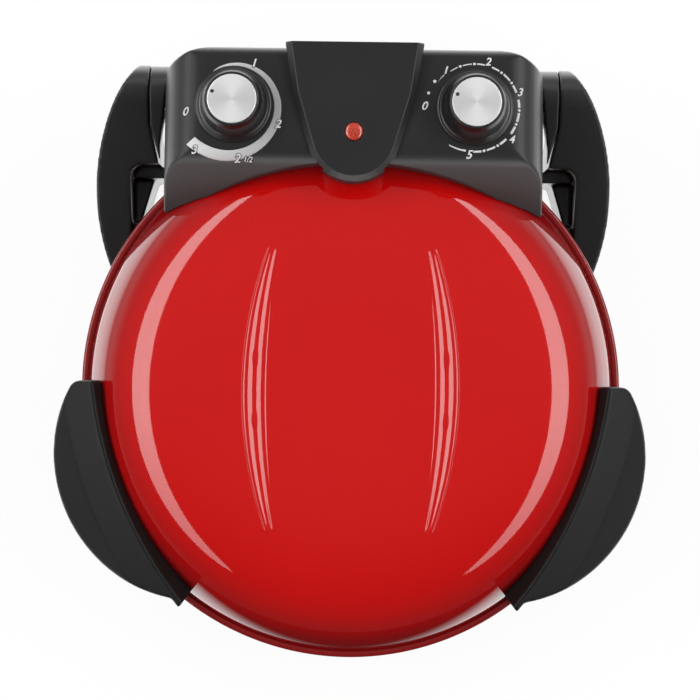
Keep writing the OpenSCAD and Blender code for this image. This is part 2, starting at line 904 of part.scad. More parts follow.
// Outer ring, leg inwards, inner ring and two tails to the back
module upper_element() {
  z = upper_ring_z;
  leg = upper_leg_x;
  b1 = asin((leg - leg_bite) / upper_ring_r);
  b2 = asin((leg - leg_bite) / inner_ring_r);
  b3 = asin(leg_bite / inner_ring_r);
  color("dimgray") {
    bent_tube(upper_ring_r, z, element_r, 90 + b1, 360 - 2 * b1);
    bent_tube(inner_ring_r, z, element_r, 90 - b3, 360 + b3 - b2);
    rod([leg, on_ring(inner_ring_r, leg), z], [leg, on_ring(upper_ring_r, leg), z], leg_r);
    rod([-leg, on_ring(upper_ring_r, leg), z], [-leg, upper_tail_y, z], leg_r);
    rod([0, inner_ring_r, z], [0, upper_tail_y, z], leg_r);
  }
}
module upper_clip() {
  z1 = lid_liner_under(upper_ring_r + 7) - seat;
  z0 = upper_ring_z - element_r - 1.3;
  translate([upper_ring_r - element_r - 1.3, -5, z0])
    cube([2 * element_r + 2.6, 10, 1]);
  for (s = [-1, 1])
    translate([upper_ring_r + s * (element_r + 0.8) - 0.5, -5, z0])
      cube([1, 10, z1 - z0 - 1]);
  translate([upper_ring_r - element_r - 1.3, -5, z1 - 1.5])
    cube([2 * element_r + 2.6, 10, 1.5]);
  translate([upper_ring_r, 0, z1 - 1])
    cylinder(r = screw_r / 2, h = 5);
}
module upper_element_clips() {
  color(steel)
    for (t = upper_clip_turns)
      rotate([0, 0, t])
        upper_clip();
}
module upper_insulators() {
  color("ivory")
    for (x = upper_tails)
      ceramic_bead(x, dome_face(upper_ring_z - element_r - bead_wall) + seat, upper_ring_z);
}

// ---- control housing ----------------------------------------------------

function panel_at(y) = panel_z - (y - knob_y) * tan(panel_tilt);

module housing_plan(inset = 0) {
  w = housing_w / 2 - inset;
  b = housing_back_w / 2 - inset;
  right = concat(
    arc(w - 12 + inset, 117, 12 - inset, -75, 0),
    [[w, 150]],
    arc(b - 6.2 + inset, housing_rear_y - 17.7, 8 - inset, 0, 45),
    arc(b - 29.5 + inset, housing_rear_y - 41, 41 - inset, 45, 90, 12));
  difference() {
    polygon(concat(right, [for (p = reversed(right)) [-p[0], p[1]]]));
    translate([0, housing_front_y])
      circle(r = housing_front_r + inset, $fn = 360);
  }
}
// Side view: back wall, tilted panel and front slope
module housing_side(inset = 0) {
  y1 = housing_rear_y - inset;
  z1 = panel_at(y1 - 9) - inset;
  y0 = 148;
  z0 = panel_at(y0) - inset;
  polygon(concat(
    [[80, housing_z - inset], [y1, housing_z - inset]],
    arc(y1 - 9, z1 - 9, 9, 0, 90 - panel_tilt),
    arc(y0, z0 - 16, 16, 90 - panel_tilt, 142),
    [[94, z0 - 56]]));
}
// View along the panel: flared sides and round shoulders
module housing_front(inset = 0) {
  w = housing_w / 2 - inset;
  r = shoulder_r - inset;
  x = w - shoulder_lean - r;
  z = 0.02 - inset - r;
  polygon(concat(
    [[w, -80]], arc(x, z, r, 0, 90, 10), arc(-x, z, r, 90, 180, 10), [[-w, -80]]));
}
module housing_form(inset = 0) {
  intersection() {
    translate([0, 0, housing_z - inset])
      linear_extrude(90)
        housing_plan(inset);
    rotate([90, 0, 90])
      translate([0, 0, -big / 2])
        linear_extrude(big)
          housing_side(inset);
    translate([0, knob_y, panel_z])
      rotate([90 - panel_tilt, 0, 0])
        translate([0, 0, -big / 2])
          linear_extrude(big)
            housing_front(inset);
  }
}
module at_knob(side) {
  translate([side * knob_x, knob_y, panel_z])
    rotate([-panel_tilt, 0, 0])
      children();
}
module control_housing() {
  color(black)
    difference() {
      union() {
        difference() {
          housing_form();
          housing_form(housing_wall);
        }
        for (x = housing_screw_x)
          translate([x, housing_screw_y, floor_z + floor_t])
            cylinder(r = boss_r, h = 30);
        for (x = housing_screw_x)
          translate([x - 1, housing_screw_y, floor_z + floor_t])
            cube([2, housing_rear_y - housing_screw_y - 1, 30]);
      }
      dome_solid(seat);
      for (s = [-1, 1])
        at_knob(s)
          translate([0, 0, -20])
            cylinder(r = shaft_d / 2 + 1, h = 30);
      both_sides()
        along_x(90, hinge_y, hinge_z, pin_r + 1, 40);
      translate([0, lens_y, panel_z - 20])
        cylinder(r = lens_r + 1.2, h = 40);
      for (x = housing_screw_x)
        translate([x, housing_screw_y, floor_z])
          cylinder(r = screw_r - 0.3, h = 14);
    }
}
module housing_floor() {
  color(black)
    difference() {
      intersection() {
        housing_form(housing_wall + seat);
        translate([-big / 2, 0, floor_z])
          cube([big, big, floor_t]);
      }
      translate([0, 0, -1])
        cylinder(r = wall_r + seat, h = 200, $fn = 180);
      for (x = housing_screw_x)
        translate([x, housing_screw_y, floor_z - 1])
          cylinder(r = screw_r + 0.3, h = 5);
      both_sides()
        translate([pin_in_x - 4, hinge_y - pin_r - 2, floor_z - 1])
          cube([40, 2 * pin_r + 4, 5]);
    }
}
module housing_screws() {
  color(steel)
    for (x = housing_screw_x)
      translate([x, housing_screw_y, floor_z - screw_head_t]) {
        cylinder(r = screw_head_r, h = screw_head_t);
        cylinder(r = screw_r - 0.35, h = screw_head_t + 12);
      }
}

// Lid side of the hinge barrel, with the fairing that runs forward along the housing
module hinge_cheek() {
  x0 = housing_back_w / 2 + seat;
  x1 = hinge_face_x - seat;
  difference() {
    union() {
      along_x(x0, hinge_y, hinge_z, barrel_r - 0.5, x1 - x0);
      intersection() {
        translate([0, 0, base_rim_z + 5])
          linear_extrude(60)
            polygon([[x0, hinge_y], [x1, hinge_y], [x1, joint_y], [housing_w / 2 + 0.5, arm_step_y + 1],
              [x0, arm_step_y + 1]]);
        rotate([90, 0, 90])
          linear_extrude(200)
            arm_side(0.5);
      }
    }
    translate([0, 0, housing_z - 40])
      linear_extrude(200)
        housing_plan(-seat);
    along_x(x0 - 30, hinge_y, hinge_z, pin_r + run_gap, 60);
  }
}
module hinge_cheek_left() {
  color(black)
    left()
      hinge_cheek();
}
module hinge_cheek_right() {
  color(black)
    hinge_cheek();
}

// Plan of the raised tongue, from its rear edge to its round tip
module tongue_plan(grow = 0) {
  tip_r = 25 + grow;
  tip_y = tongue_tip_y + 25;
  side = [33.5 + grow, 178];
  reach = norm([side[0], side[1] - tip_y]);
  a = atan2(side[1] - tip_y, side[0]) - acos(tip_r / reach);
  polygon(concat(
    [[-38 - grow, tongue_rear_y], [-side[0], side[1]]],
    arc(0, tip_y, tip_r, 180 - a, 360 + a, 14),
    [side, [38 + grow, tongue_rear_y]]));
}
// Everything between the dome and the tongue's top, chamfered all round
module tongue_form(inset = 0) {
  top = panel_at(lens_y) + tongue_rise - inset;
  hull() {
    translate([0, 0, top - 4])
      linear_extrude(0.01)
        tongue_plan(4 - inset);
    translate([0, 0, top - 0.01])
      linear_extrude(0.01)
        tongue_plan(-inset);
  }
  translate([0, 0, lid_rim_z + 20])
    linear_extrude(top - 3.8 - lid_rim_z - 20)
      tongue_plan(3.7 - inset);
}
module tongue_panel() {
  top = panel_at(lens_y) + tongue_rise;
  color(black)
    difference() {
      tongue_form();
      translate([-60, tongue_rear_y - 0.01, 0])
        cube([120, 40, 200]);
      // the housing's panel and what lies under it
      rotate([90, 0, 90])
        translate([0, 0, -60])
          linear_extrude(120)
            polygon([[nose_y, 0], [nose_y, panel_at(nose_y) + seat],
              [tongue_rear_y + 5, panel_at(tongue_rear_y + 5) + seat], [tongue_rear_y + 5, 0]]);
      dome_solid(seat);
      translate([0, 0, lid_rim_z + 20])
        intersection() {
          linear_extrude(top - 6 - lid_rim_z - 20)
            tongue_plan(1);
          translate([-60, 0, 0])
            cube([120, nose_y + 1, 200]);
        }
      translate([0, lens_y, 0])
        cylinder(r = lens_r + 0.3, h = 200);
    }
}
module indicator_lens() {
  z = panel_at(lens_y) + tongue_rise;
  color("orangered")
    translate([0, lens_y, 0])
      rotate_extrude()
        polygon(concat(
          [[0, z - 8], [lens_r, z - 8], [lens_r, z]],
          [for (i = [1:6]) [lens_r * cos(15 * i), z + 1.6 * sin(15 * i)]]));
}
module indicator_lamp() {
  z = panel_at(lens_y) + tongue_rise - 8 - seat;
  color("white")
    translate([0, lens_y, z - 14]) {
      cylinder(r = 2.4, h = 14);
      translate([0, 0, 2])
        cylinder(r = 2.9, h = 3);
    }
}

// ---- controls -----------------------------------------------------------

module thermostat_body() {
  color(steel)
    at_knob(-1)
      difference() {
        union() {
          translate([-16, -14, -housing_wall - 0.5 - 24])
            cube([32, 28, 24]);
          translate([0, 0, -housing_wall - 0.5])
            cylinder(r = 6, h = 0.4);
        }
        translate([0, 0, -25])
          cylinder(r = shaft_d / 2 + run_gap, h = 30);
      }
}
// Sensing bulb against the dome, with the thin capillary to the thermostat
module thermostat_bulb() {
  x = 14 - knob_x;
  y = 160;
  z = lid_rim_z + dome_rise - 22.3;
  color("peru") {
    wire([[x + 14, y - 11.5, z], [x, y - 11.5, z], [x, y, z], [x, y, panel_at(y) - 27.8]], 1);
    rod([x + 5, y - 11.5, z], [x + 20, y - 11.5, z], 2);
  }
}
module timer_body() {
  color(steel)
    at_knob(1)
      difference() {
        union() {
          translate([0, 0, -housing_wall - 0.5 - 22])
            cylinder(r = 21, h = 22);
          translate([0, 0, -housing_wall - 0.5])
            cylinder(r = 6, h = 0.4);
        }
        translate([0, 0, -23])
          cylinder(r = shaft_d / 2 + run_gap, h = 30);
      }
}
module timer_bell() {
  color("gold")
    at_knob(1)
      translate([0, 0, -housing_wall - 0.5 - 22 - 5.3])
        difference() {
          cylinder(r = 15, h = 5);
          translate([0, 0, 1])
            cylinder(r = 14, h = 3);
          translate([0, 0, 3.5])
            difference() {
              cylinder(r = 14, h = 3);
              cylinder(r = 3, h = 3);
            }
        }
}
module lid_terminal_block() {
  color("ivory")
    difference() {
      translate([-22, hinge_y - 2, floor_z + floor_t])
        cube([44, 12, 14]);
      for (i = [-1.5:1.5])
        translate([i * 10, hinge_y + 4, floor_z + floor_t + 6])
          cylinder(r = 2.4, h = 12);
    }
}
// Fuse clipped along the back of the heat shield
module thermal_fuse() {
  color("white")
    along_x(-34, shield_r + liner_t + 2.2 + seat - 1.1, upper_ring_z + 12, 2.2, 16);
}
module lid_wiring() {
  y = hinge_y + 4;
  wire_r = 1.2;
  color("white")
    for (i = [0, 1])
      wire([
        [upper_tails[i], upper_tail_y - 2, upper_ring_z - leg_r - wire_r],
        [upper_tails[i], y, upper_ring_z - leg_r - wire_r],
        [-15 + 10 * i, y, upper_ring_z - leg_r - wire_r],
        [-15 + 10 * i, y, floor_z + floor_t + 8]
      ], wire_r);
}
// Bright upright plate that keeps the dome's heat from the controls
module heat_shield() {
  color(steel)
    difference() {
      intersection() {
        ring(shield_r, shield_r + liner_t, lid_rim_z + 5, panel_rise);
        housing_form(housing_wall + seat);
      }
      dome_solid(seat);
      for (x = upper_tails)
        along_y(x, shield_cut_y, upper_ring_z, element_r + bead_wall + 0.5, 60);
      translate([6.5 - knob_x, shield_cut_y, 0])
        cube([21, 40, lid_rim_z + dome_rise - 14]);
    }
}

module knob_form() {
  r = knob_d / 2;
  top_r = cap_d / 2 + 1.6;
  difference() {
    rotate_extrude()
      polygon([
        [0, 0.5], [r - 0.6, 0.5], [r, 1.1], [r - 0.8, 3.2], [top_r + 1.8, knob_h - 3],
        [top_r, knob_h - 0.6], [top_r - 0.6, knob_h], [0, knob_h]
      ]);
    translate([0, 0, knob_h - 1.6])
      cylinder(r = cap_d / 2 + 0.2, h = 5);
    translate([0, 0, -1])
      cylinder(r = shaft_d / 2 + run_gap, h = knob_h - 4);
    difference() {
      cylinder(r = r - 4, h = 3);
      translate([0, 0, -1])
        cylinder(r = shaft_d / 2 + 3, h = 5);
    }
  }
}
module cap_form() {
  r = cap_d / 2;
  z = knob_h - 1.6 + 0.05;
  difference() {
    rotate_extrude()
      polygon([[0, z], [r, z], [r, z + 1.5], [r - 0.5, z + 2], [r * 0.6, z + 2.2], [0, z + 2.3]]);
    rotate([0, 0, 160])
      translate([r * 0.84, 0, z + 1.5])
        cylinder(r = 0.9, h = 3);
  }
}
module shaft_form() {
  translate([0, 0, -housing_wall - 14])
    cylinder(r = shaft_d / 2, h = housing_wall + 14 + knob_h - 5.3);
}
module temperature_knob() {
  color(black)
    at_knob(-1)
      knob_form();
}
module temperature_cap() {
  color(steel)
    at_knob(-1)
      cap_form();
}
module temperature_shaft() {
  color(steel)
    at_knob(-1)
      shaft_form();
}
module timer_knob() {
  color(black)
    at_knob(1)
      knob_form();
}
module timer_cap() {
  color(steel)
    at_knob(1)
      cap_form();
}
module timer_shaft() {
  color(steel)
    at_knob(1)
      shaft_form();
}

// Moves a sub-part so that the footprint's middle is at the origin
module seated() {
  translate([0, oven_y, 0])
    children();
}

seated() base_shell();
seated() base_liner();
seated() lower_element();
seated() lower_element_clips();
seated() lower_insulators();
seated() junction_box();
seated() junction_cover();
seated() cover_screws();
seated() base_terminal_block();
seated() cord_bush();
seated() base_wiring();
seated() arm_left();
seated() arm_right();
seated() arm_screws();
seated() hinge_pin_left();
seated() hinge_pin_right();
seated() base_handle_left();
seated() base_handle_right();
seated() base_handle_screws();
seated() feet();
seated() rating_plate();
seated() pizza_stone();
seated() lid_shell();
seated() lid_liner();
seated() upper_element();
seated() upper_element_clips();
seated() upper_insulators();
seated() lid_handle_left();
seated() lid_handle_right();
seated() lid_handle_screws();
seated() control_housing();
seated() housing_floor();
seated() housing_screws();
seated() hinge_cheek_left();
seated() hinge_cheek_right();
seated() tongue_panel();
seated() indicator_lens();
seated() indicator_lamp();
seated() thermostat_body();
seated() thermostat_bulb();
seated() timer_body();
seated() timer_bell();
seated() lid_terminal_block();
seated() thermal_fuse();
seated() lid_wiring();
seated() heat_shield();
seated() temperature_knob();
seated() temperature_cap();
seated() temperature_shaft();
seated() timer_knob();
seated() timer_cap();
seated() timer_shaft();
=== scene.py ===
import math
import bpy
import bmesh
from mathutils import Matrix, Vector
from mathutils.bvhtree import BVHTree


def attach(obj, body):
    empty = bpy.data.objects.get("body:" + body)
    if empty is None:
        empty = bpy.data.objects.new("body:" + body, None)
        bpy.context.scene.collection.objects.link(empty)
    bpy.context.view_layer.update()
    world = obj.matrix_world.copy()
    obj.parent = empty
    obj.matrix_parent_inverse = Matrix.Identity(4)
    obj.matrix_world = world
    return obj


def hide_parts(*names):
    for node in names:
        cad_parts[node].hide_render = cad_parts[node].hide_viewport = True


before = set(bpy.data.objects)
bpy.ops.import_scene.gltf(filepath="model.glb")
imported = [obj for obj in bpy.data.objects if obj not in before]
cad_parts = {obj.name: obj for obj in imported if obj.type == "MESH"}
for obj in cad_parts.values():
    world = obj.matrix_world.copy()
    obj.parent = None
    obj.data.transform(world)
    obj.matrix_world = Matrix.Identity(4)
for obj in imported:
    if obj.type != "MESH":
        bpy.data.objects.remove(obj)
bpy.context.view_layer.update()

mm = 0.001
ovenY = -19.7          # oven axis in the shared frame, in mm
lidRim = 80.3          # underside of the lid's rim
baseRim = 80.0
print("frame loaded:", len(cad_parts), "nodes")


# shader helpers

def plug(tree, socket, value):
    if isinstance(value, Socket):
        tree.links.new(value.source, socket)
    else:
        socket.default_value = value


# a shader socket that takes part in Python maths
class Socket:
    def __init__(self, tree, source):
        self.tree, self.source = tree, source

    def maths(self, operation, *values):
        step = self.tree.nodes.new("ShaderNodeMath")
        step.operation = operation
        for socket, value in zip(step.inputs, values):
            plug(self.tree, socket, value)
        return Socket(self.tree, step.outputs[0])

    def __add__(self, other):
        return self.maths("ADD", self, other)

    def __radd__(self, other):
        return self.maths("ADD", other, self)

    def __sub__(self, other):
        return self.maths("SUBTRACT", self, other)

    def __rsub__(self, other):
        return self.maths("SUBTRACT", other, self)

    def __mul__(self, other):
        return self.maths("MULTIPLY", self, other)

    def __rmul__(self, other):
        return self.maths("MULTIPLY", other, self)

    def __abs__(self):
        return self.maths("ABSOLUTE", self)

    def atLeast(self, least):
        return self.maths("MAXIMUM", self, least)


# node tree of a material or of the world
class Tree:
    def __init__(self, owner):
        self.owner = owner
        owner.use_nodes = True
        self.nodes = owner.node_tree.nodes
        self.tree = owner.node_tree

    # any node: its type, its settings, the values or links of its sockets
    def node(self, kind, settings=None, sockets=None, out=0):
        made = self.nodes.new("ShaderNode" + kind)
        for name, value in (settings or {}).items():
            setattr(made, name, value)
        for name, value in (sockets or {}).items():
            plug(self.tree, made.inputs[name], value)
        return Socket(self.tree, made.outputs[out])

    def place(self, stretch=(1, 1, 1)):
        point = self.node("TexCoord", out="Object")
        return self.node("VectorMath", {"operation": "MULTIPLY"}, {0: point, 1: stretch})

    def noise(self, scale, detail=2.0, rough=0.5, stretch=(1, 1, 1)):
        return self.node("TexNoise", {}, {"Vector": self.place(stretch), "Scale": scale,
                                          "Detail": detail, "Roughness": rough})

    # slow change between two values
    def between(self, factor, low, high):
        return self.node("MapRange", {}, {"Value": factor, "From Min": 0.3, "From Max": 0.7,
                                          "To Min": low, "To Max": high})

    def tint(self, factor, first, second):
        return self.node("Mix", {"data_type": "RGBA"}, {0: factor, 6: first, 7: second}, out=2)

    def bump(self, height, strength, depth):
        return self.node("Bump", {}, {"Height": height, "Strength": strength, "Distance": depth})


def rgb(red, green, blue):
    return (red, green, blue, 1.0)


# material with one Principled shader
class Finish(Tree):
    def __init__(self, name, **fixed):
        self.material = bpy.data.materials.new(name)
        super().__init__(self.material)
        self.shader = self.nodes["Principled BSDF"]
        self.set({label.replace("_", " "): value for label, value in fixed.items()})

    def set(self, sockets):
        for name, value in sockets.items():
            plug(self.tree, self.shader.inputs[name], value)


# finishes

# rim is painted shade: below rimShadeTop the red runs into this darker colour, reached at rimShadeLow
# (heights in metres), standing in for the shade low on the dome and round its rim; the base bowl lies lower
# and takes it all over
enamel = {"red": (0.67, 0.003, 0.0024), "deep": (0.63, 0.002, 0.0018), "peel": 0.02,
          "rim": (0.30, 0.006, 0.007), "rimShadeTop": 0.126, "rimShadeLow": 0.099}


def redEnamel():
    finish = Finish("red_enamel", IOR=1.5, Roughness=0.045)
    cloud = finish.noise(9, 3)
    peel = finish.noise(420, 1)
    height = finish.node("SeparateXYZ", {}, {0: finish.node("TexCoord", out="Object")}, out=2)
    # painted shade: the enamel darkens by height towards the rim
    rimShadeShare = finish.node("MapRange", {"interpolation_type": "SMOOTHSTEP"},
                           {"Value": height, "From Min": enamel["rimShadeTop"], "From Max": enamel["rimShadeLow"]})
    face = finish.tint(cloud, rgb(*enamel["red"]), rgb(*enamel["deep"]))
    finish.set({
        "Base Color": finish.tint(rimShadeShare, face, rgb(*enamel["rim"])),
        "Normal": finish.bump(peel, enamel["peel"], 0.0001),
    })
    return finish.material


plastic = {"tone": 0.0085, "paler": 0.0125, "grainScale": 2100, "grain": 0.16}


# satin moulded plastic with a fine spark-eroded grain
def mouldedBlack(name="black_plastic", tone=1.0, shine=0.42, gloss=0.5):
    finish = Finish(name, IOR=1.5, Specular_IOR_Level=gloss)
    cloud = finish.noise(14, 4)
    grain = finish.noise(plastic["grainScale"], 2, 0.6)
    pits = finish.noise(650, 2, 0.6)
    dark, pale = plastic["tone"] * tone, plastic["paler"] * tone
    finish.set({
        "Base Color": finish.tint(cloud, rgb(dark, dark, dark), rgb(pale, pale, pale * 1.02)),
        "Roughness": finish.between(cloud, shine - 0.03, shine + 0.04),
        "Normal": finish.bump(grain * 0.7 + pits * 0.3, plastic["grain"], 0.00012),
    })
    return finish.material


def knobBlack():
    finish = Finish("knob_black", IOR=1.5)
    cloud = finish.noise(60, 3)
    finish.set({
        "Base Color": finish.tint(cloud, rgb(0.008, 0.008, 0.008), rgb(0.014, 0.014, 0.014)),
        "Roughness": finish.between(cloud, 0.30, 0.38),
        "Normal": finish.bump(finish.noise(1500), 0.1, 0.0001),
    })
    return finish.material


spun = {"bright": 0.93, "dull": 0.86, "rings": 2600, "shine": 0.42, "stretch": 0.6}


# turned metal: fine circular lines about the middle of the disc
def spunMetal(name, centre):
    finish = Finish(name, Metallic=0.55, Anisotropic=spun["stretch"])
    point = finish.node("TexCoord", out="Object")
    arm = finish.node("VectorMath", {"operation": "SUBTRACT"}, {0: point, 1: centre})
    reach = finish.node("VectorMath", {"operation": "LENGTH"}, {0: arm}, out="Value")
    lines = finish.node("TexNoise", {"noise_dimensions": "1D"},
                        {"W": reach, "Scale": spun["rings"], "Detail": 3.0})
    cloud = finish.noise(70, 2)
    tone = finish.tint(lines * 0.7 + cloud * 0.3, rgb(*[spun["dull"]] * 3), rgb(*[spun["bright"]] * 3))
    finish.set({
        "Base Color": tone,
        "Roughness": finish.between(lines, spun["shine"] - 0.04, spun["shine"] + 0.05),
        "Normal": finish.bump(lines, 0.05, 0.00003),
    })
    return finish.material


# sheet or turned metal for the inside
def plainMetal(name, bright, dull, shine, lineScale=400, lineStretch=(1, 1, 1), metallic=1.0):
    finish = Finish(name, Metallic=metallic)
    lines = finish.noise(lineScale, 3, 0.6, lineStretch)
    cloud = finish.noise(22, 4)
    finish.set({
        "Base Color": finish.tint(cloud, rgb(*bright), rgb(*dull)),
        "Roughness": finish.between(lines * 0.5 + cloud * 0.5, shine - 0.06, shine + 0.08),
        "Normal": finish.bump(lines, 0.15, 0.0001),
    })
    return finish.material


def elementSheath():
    finish = Finish("element_sheath", Metallic=0.85)
    cloud = finish.noise(45, 5, 0.65)
    scale = finish.noise(700, 3, 0.7)
    finish.set({
        "Base Color": finish.tint(cloud, rgb(0.10, 0.095, 0.09), rgb(0.24, 0.19, 0.15)),
        "Roughness": finish.between(scale, 0.42, 0.6),
        "Normal": finish.bump(scale, 0.25, 0.0001),
    })
    return finish.material


stoneLook = {"pale": (0.74, 0.62, 0.45), "baked": (0.58, 0.45, 0.30), "grit": (0.36, 0.27, 0.18),
             "gritSize": 0.22, "gritDepth": 2.6}


# baking stone: pale, with grit and slow baked patches
def bakingStone():
    finish = Finish("stone", IOR=1.45, Specular_IOR_Level=0.3)
    patches = finish.noise(11, 4, 0.6)
    grit = finish.node("TexVoronoi", {"feature": "F1"}, {"Vector": finish.place(), "Scale": 420})
    pores = finish.noise(900, 4, 0.7)
    pale = finish.tint(patches, rgb(*stoneLook["pale"]), rgb(*stoneLook["baked"]))
    specks = (stoneLook["gritSize"] - grit).atLeast(0.0) * stoneLook["gritDepth"]
    finish.set({
        "Base Color": finish.tint(specks, pale, rgb(*stoneLook["grit"])),
        "Roughness": finish.between(pores, 0.82, 0.95),
        "Normal": finish.bump(pores * 0.7 + grit * 0.3, 0.5, 0.0004),
    })
    return finish.material


def rubberBlack():
    finish = Finish("rubber_black", IOR=1.5, Specular_IOR_Level=0.35)
    cloud = finish.noise(50, 3)
    finish.set({
        "Base Color": finish.tint(cloud, rgb(0.014, 0.014, 0.014), rgb(0.024, 0.023, 0.022)),
        "Roughness": finish.between(cloud, 0.68, 0.82),
        "Normal": finish.bump(finish.noise(1300, 2), 0.3, 0.0002),
    })
    return finish.material


def ceramicWhite():
    finish = Finish("ceramic", IOR=1.5, Coat_Weight=0.15, Coat_Roughness=0.2)
    cloud = finish.noise(120, 3)
    finish.set({
        "Base Color": finish.tint(cloud, rgb(0.80, 0.78, 0.72), rgb(0.72, 0.69, 0.62)),
        "Roughness": finish.between(cloud, 0.42, 0.55),
        "Normal": finish.bump(finish.noise(900), 0.2, 0.0001),
    })
    return finish.material


lens = {"deep": (0.22, 0.008, 0.004), "glow": (0.78, 0.07, 0.028), "cuts": 900}


# moulded lens with fine prism cuts under a clear skin; its faint glow is painted light, standing in for light
# passing through the lens
def lensOrange():
    finish = Finish("lens_orange", IOR=1.5, Coat_Weight=1.0, Coat_Roughness=0.03, Roughness=0.25)
    cuts = finish.node("TexVoronoi", {"feature": "F1"},
                       {"Vector": finish.place((1, 1, 0.2)), "Scale": lens["cuts"]})
    colour = finish.tint(cuts, rgb(*lens["glow"]), rgb(*lens["deep"]))
    finish.set({
        "Base Color": colour,
        # painted glow: faint emission in the lens's own colour
        "Emission Color": colour,
        "Emission Strength": 0.12,
        "Normal": finish.bump(cuts, 0.35, 0.0002),
    })
    return finish.material


def lampGlass():
    finish = Finish("lamp_white", IOR=1.5, Coat_Weight=0.6, Coat_Roughness=0.05)
    cloud = finish.noise(300, 2)
    finish.set({
        "Base Color": finish.tint(cloud, rgb(0.88, 0.84, 0.80), rgb(0.75, 0.68, 0.62)),
        "Roughness": finish.between(cloud, 0.12, 0.22),
    })
    return finish.material


def wireSleeve():
    finish = Finish("wire_white", IOR=1.45)
    weave = finish.node("TexWave", {"wave_type": "BANDS", "bands_direction": "DIAGONAL"},
                        {"Vector": finish.place(), "Scale": 420, "Distortion": 2.0})
    finish.set({
        "Base Color": finish.tint(weave, rgb(0.84, 0.83, 0.78), rgb(0.70, 0.68, 0.62)),
        "Roughness": finish.between(weave, 0.5, 0.62),
        "Normal": finish.bump(weave, 0.3, 0.0001),
    })
    return finish.material


# white print: greyer where the scale starts, whiter towards its thick end
def dialPrint(name, grey, white, lowX, highX):
    finish = Finish(name, IOR=1.45)
    point = finish.node("TexCoord", out="Object")
    across = finish.node("SeparateXYZ", {}, {0: point}, out=0)
    share = finish.node("MapRange", {}, {"Value": across, "From Min": lowX, "From Max": highX})
    speck = finish.noise(1800, 2)
    finish.set({
        "Base Color": finish.tint(share, rgb(*[white] * 3), rgb(*[grey] * 3)),
        "Roughness": finish.between(speck, 0.45, 0.6),
        "Normal": finish.bump(speck, 0.1, 0.00005),
    })
    return finish.material


redPaint = redEnamel()
blackPlastic = mouldedBlack()
armPlastic = mouldedBlack("arm_plastic", 0.9, 0.38)
handlePlastic = mouldedBlack("handle_plastic", 0.6, 0.42, 0.22)
knobPlastic = knobBlack()
stoneFinish = bakingStone()
rubberFinish = rubberBlack()
linerMetal = plainMetal("liner_metal", (0.80, 0.80, 0.79), (0.66, 0.66, 0.65), 0.34, 60, (1, 1, 6))
zincSteel = plainMetal("zinc_steel", (0.62, 0.62, 0.63), (0.50, 0.51, 0.54), 0.32, 500)
copperMetal = plainMetal("copper_tube", (0.78, 0.42, 0.27), (0.55, 0.27, 0.16), 0.3, 500)
bellMetal = plainMetal("bell_brass", (0.80, 0.64, 0.30), (0.62, 0.47, 0.20), 0.28, 500)
plateMetal = plainMetal("plate_blank", (0.30, 0.30, 0.31), (0.24, 0.24, 0.25), 0.5, 500, (1, 8, 8), 0.6)
ceramicFinish = ceramicWhite()
print("finishes ready")

# finishes of the solids that keep their own shape
kept = {
    "base_liner": linerMetal, "lid_liner": linerMetal, "heat_shield": linerMetal,
    "lower_element": elementSheath(), "lower_element_clips": zincSteel, "lower_insulators": ceramicFinish,
    "upper_element_clips": zincSteel, "upper_insulators": ceramicFinish,
    "junction_cover": blackPlastic, "cover_screws": zincSteel, "base_terminal_block": ceramicFinish,
    "base_wiring": wireSleeve(), "cord_bush": rubberFinish, "arm_screws": zincSteel,
    "hinge_pin_left": zincSteel, "hinge_pin_right": zincSteel, "base_handle_screws": zincSteel,
    "rating_plate": plateMetal, "lid_handle_screws": zincSteel, "housing_floor": blackPlastic,
    "housing_screws": zincSteel, "indicator_lamp": lampGlass(), "thermostat_body": zincSteel,
    "thermostat_bulb": copperMetal, "timer_body": zincSteel, "timer_bell": bellMetal,
    "lid_terminal_block": ceramicFinish, "temperature_shaft": zincSteel, "timer_shaft": zincSteel,
}
kept["upper_element"] = kept["lower_element"]
kept["lid_wiring"] = kept["thermal_fuse"] = kept["base_wiring"]


def dress(piece, material):
    piece.data.materials.clear()
    piece.data.materials.append(material)


for nodeName, material in kept.items():
    dress(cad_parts[nodeName], material)


# mesh helpers

def addPiece(name, mesh, body, material, replaced=()):
    piece = bpy.data.objects.new(name, mesh)
    bpy.context.scene.collection.objects.link(piece)
    for face in mesh.polygons:
        face.use_smooth = True
    dress(piece, material)
    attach(piece, body)
    if replaced:
        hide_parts(*replaced)
    return piece


# polyline with its corners rounded; each point is (x, y, radius)
def softCorners(points, steps=5):
    made = []
    count = len(points)
    for index, (x, y, radius) in enumerate(points):
        here = Vector((x, y))
        before = Vector(points[index - 1][:2]) - here
        after = Vector(points[(index + 1) % count][:2]) - here
        if radius <= 0 or before.length < 1e-6 or after.length < 1e-6:
            made.append((x, y))
            continue
        half = before.angle(after) / 2
        cut = min(radius / math.tan(half), 0.49 * before.length, 0.49 * after.length)
        start, end = here + before.normalized() * cut, here + after.normalized() * cut
        for step in range(steps + 1):
            t = step / steps
            made.append(tuple((1 - t) ** 2 * start + 2 * t * (1 - t) * here + t ** 2 * end))
    return made


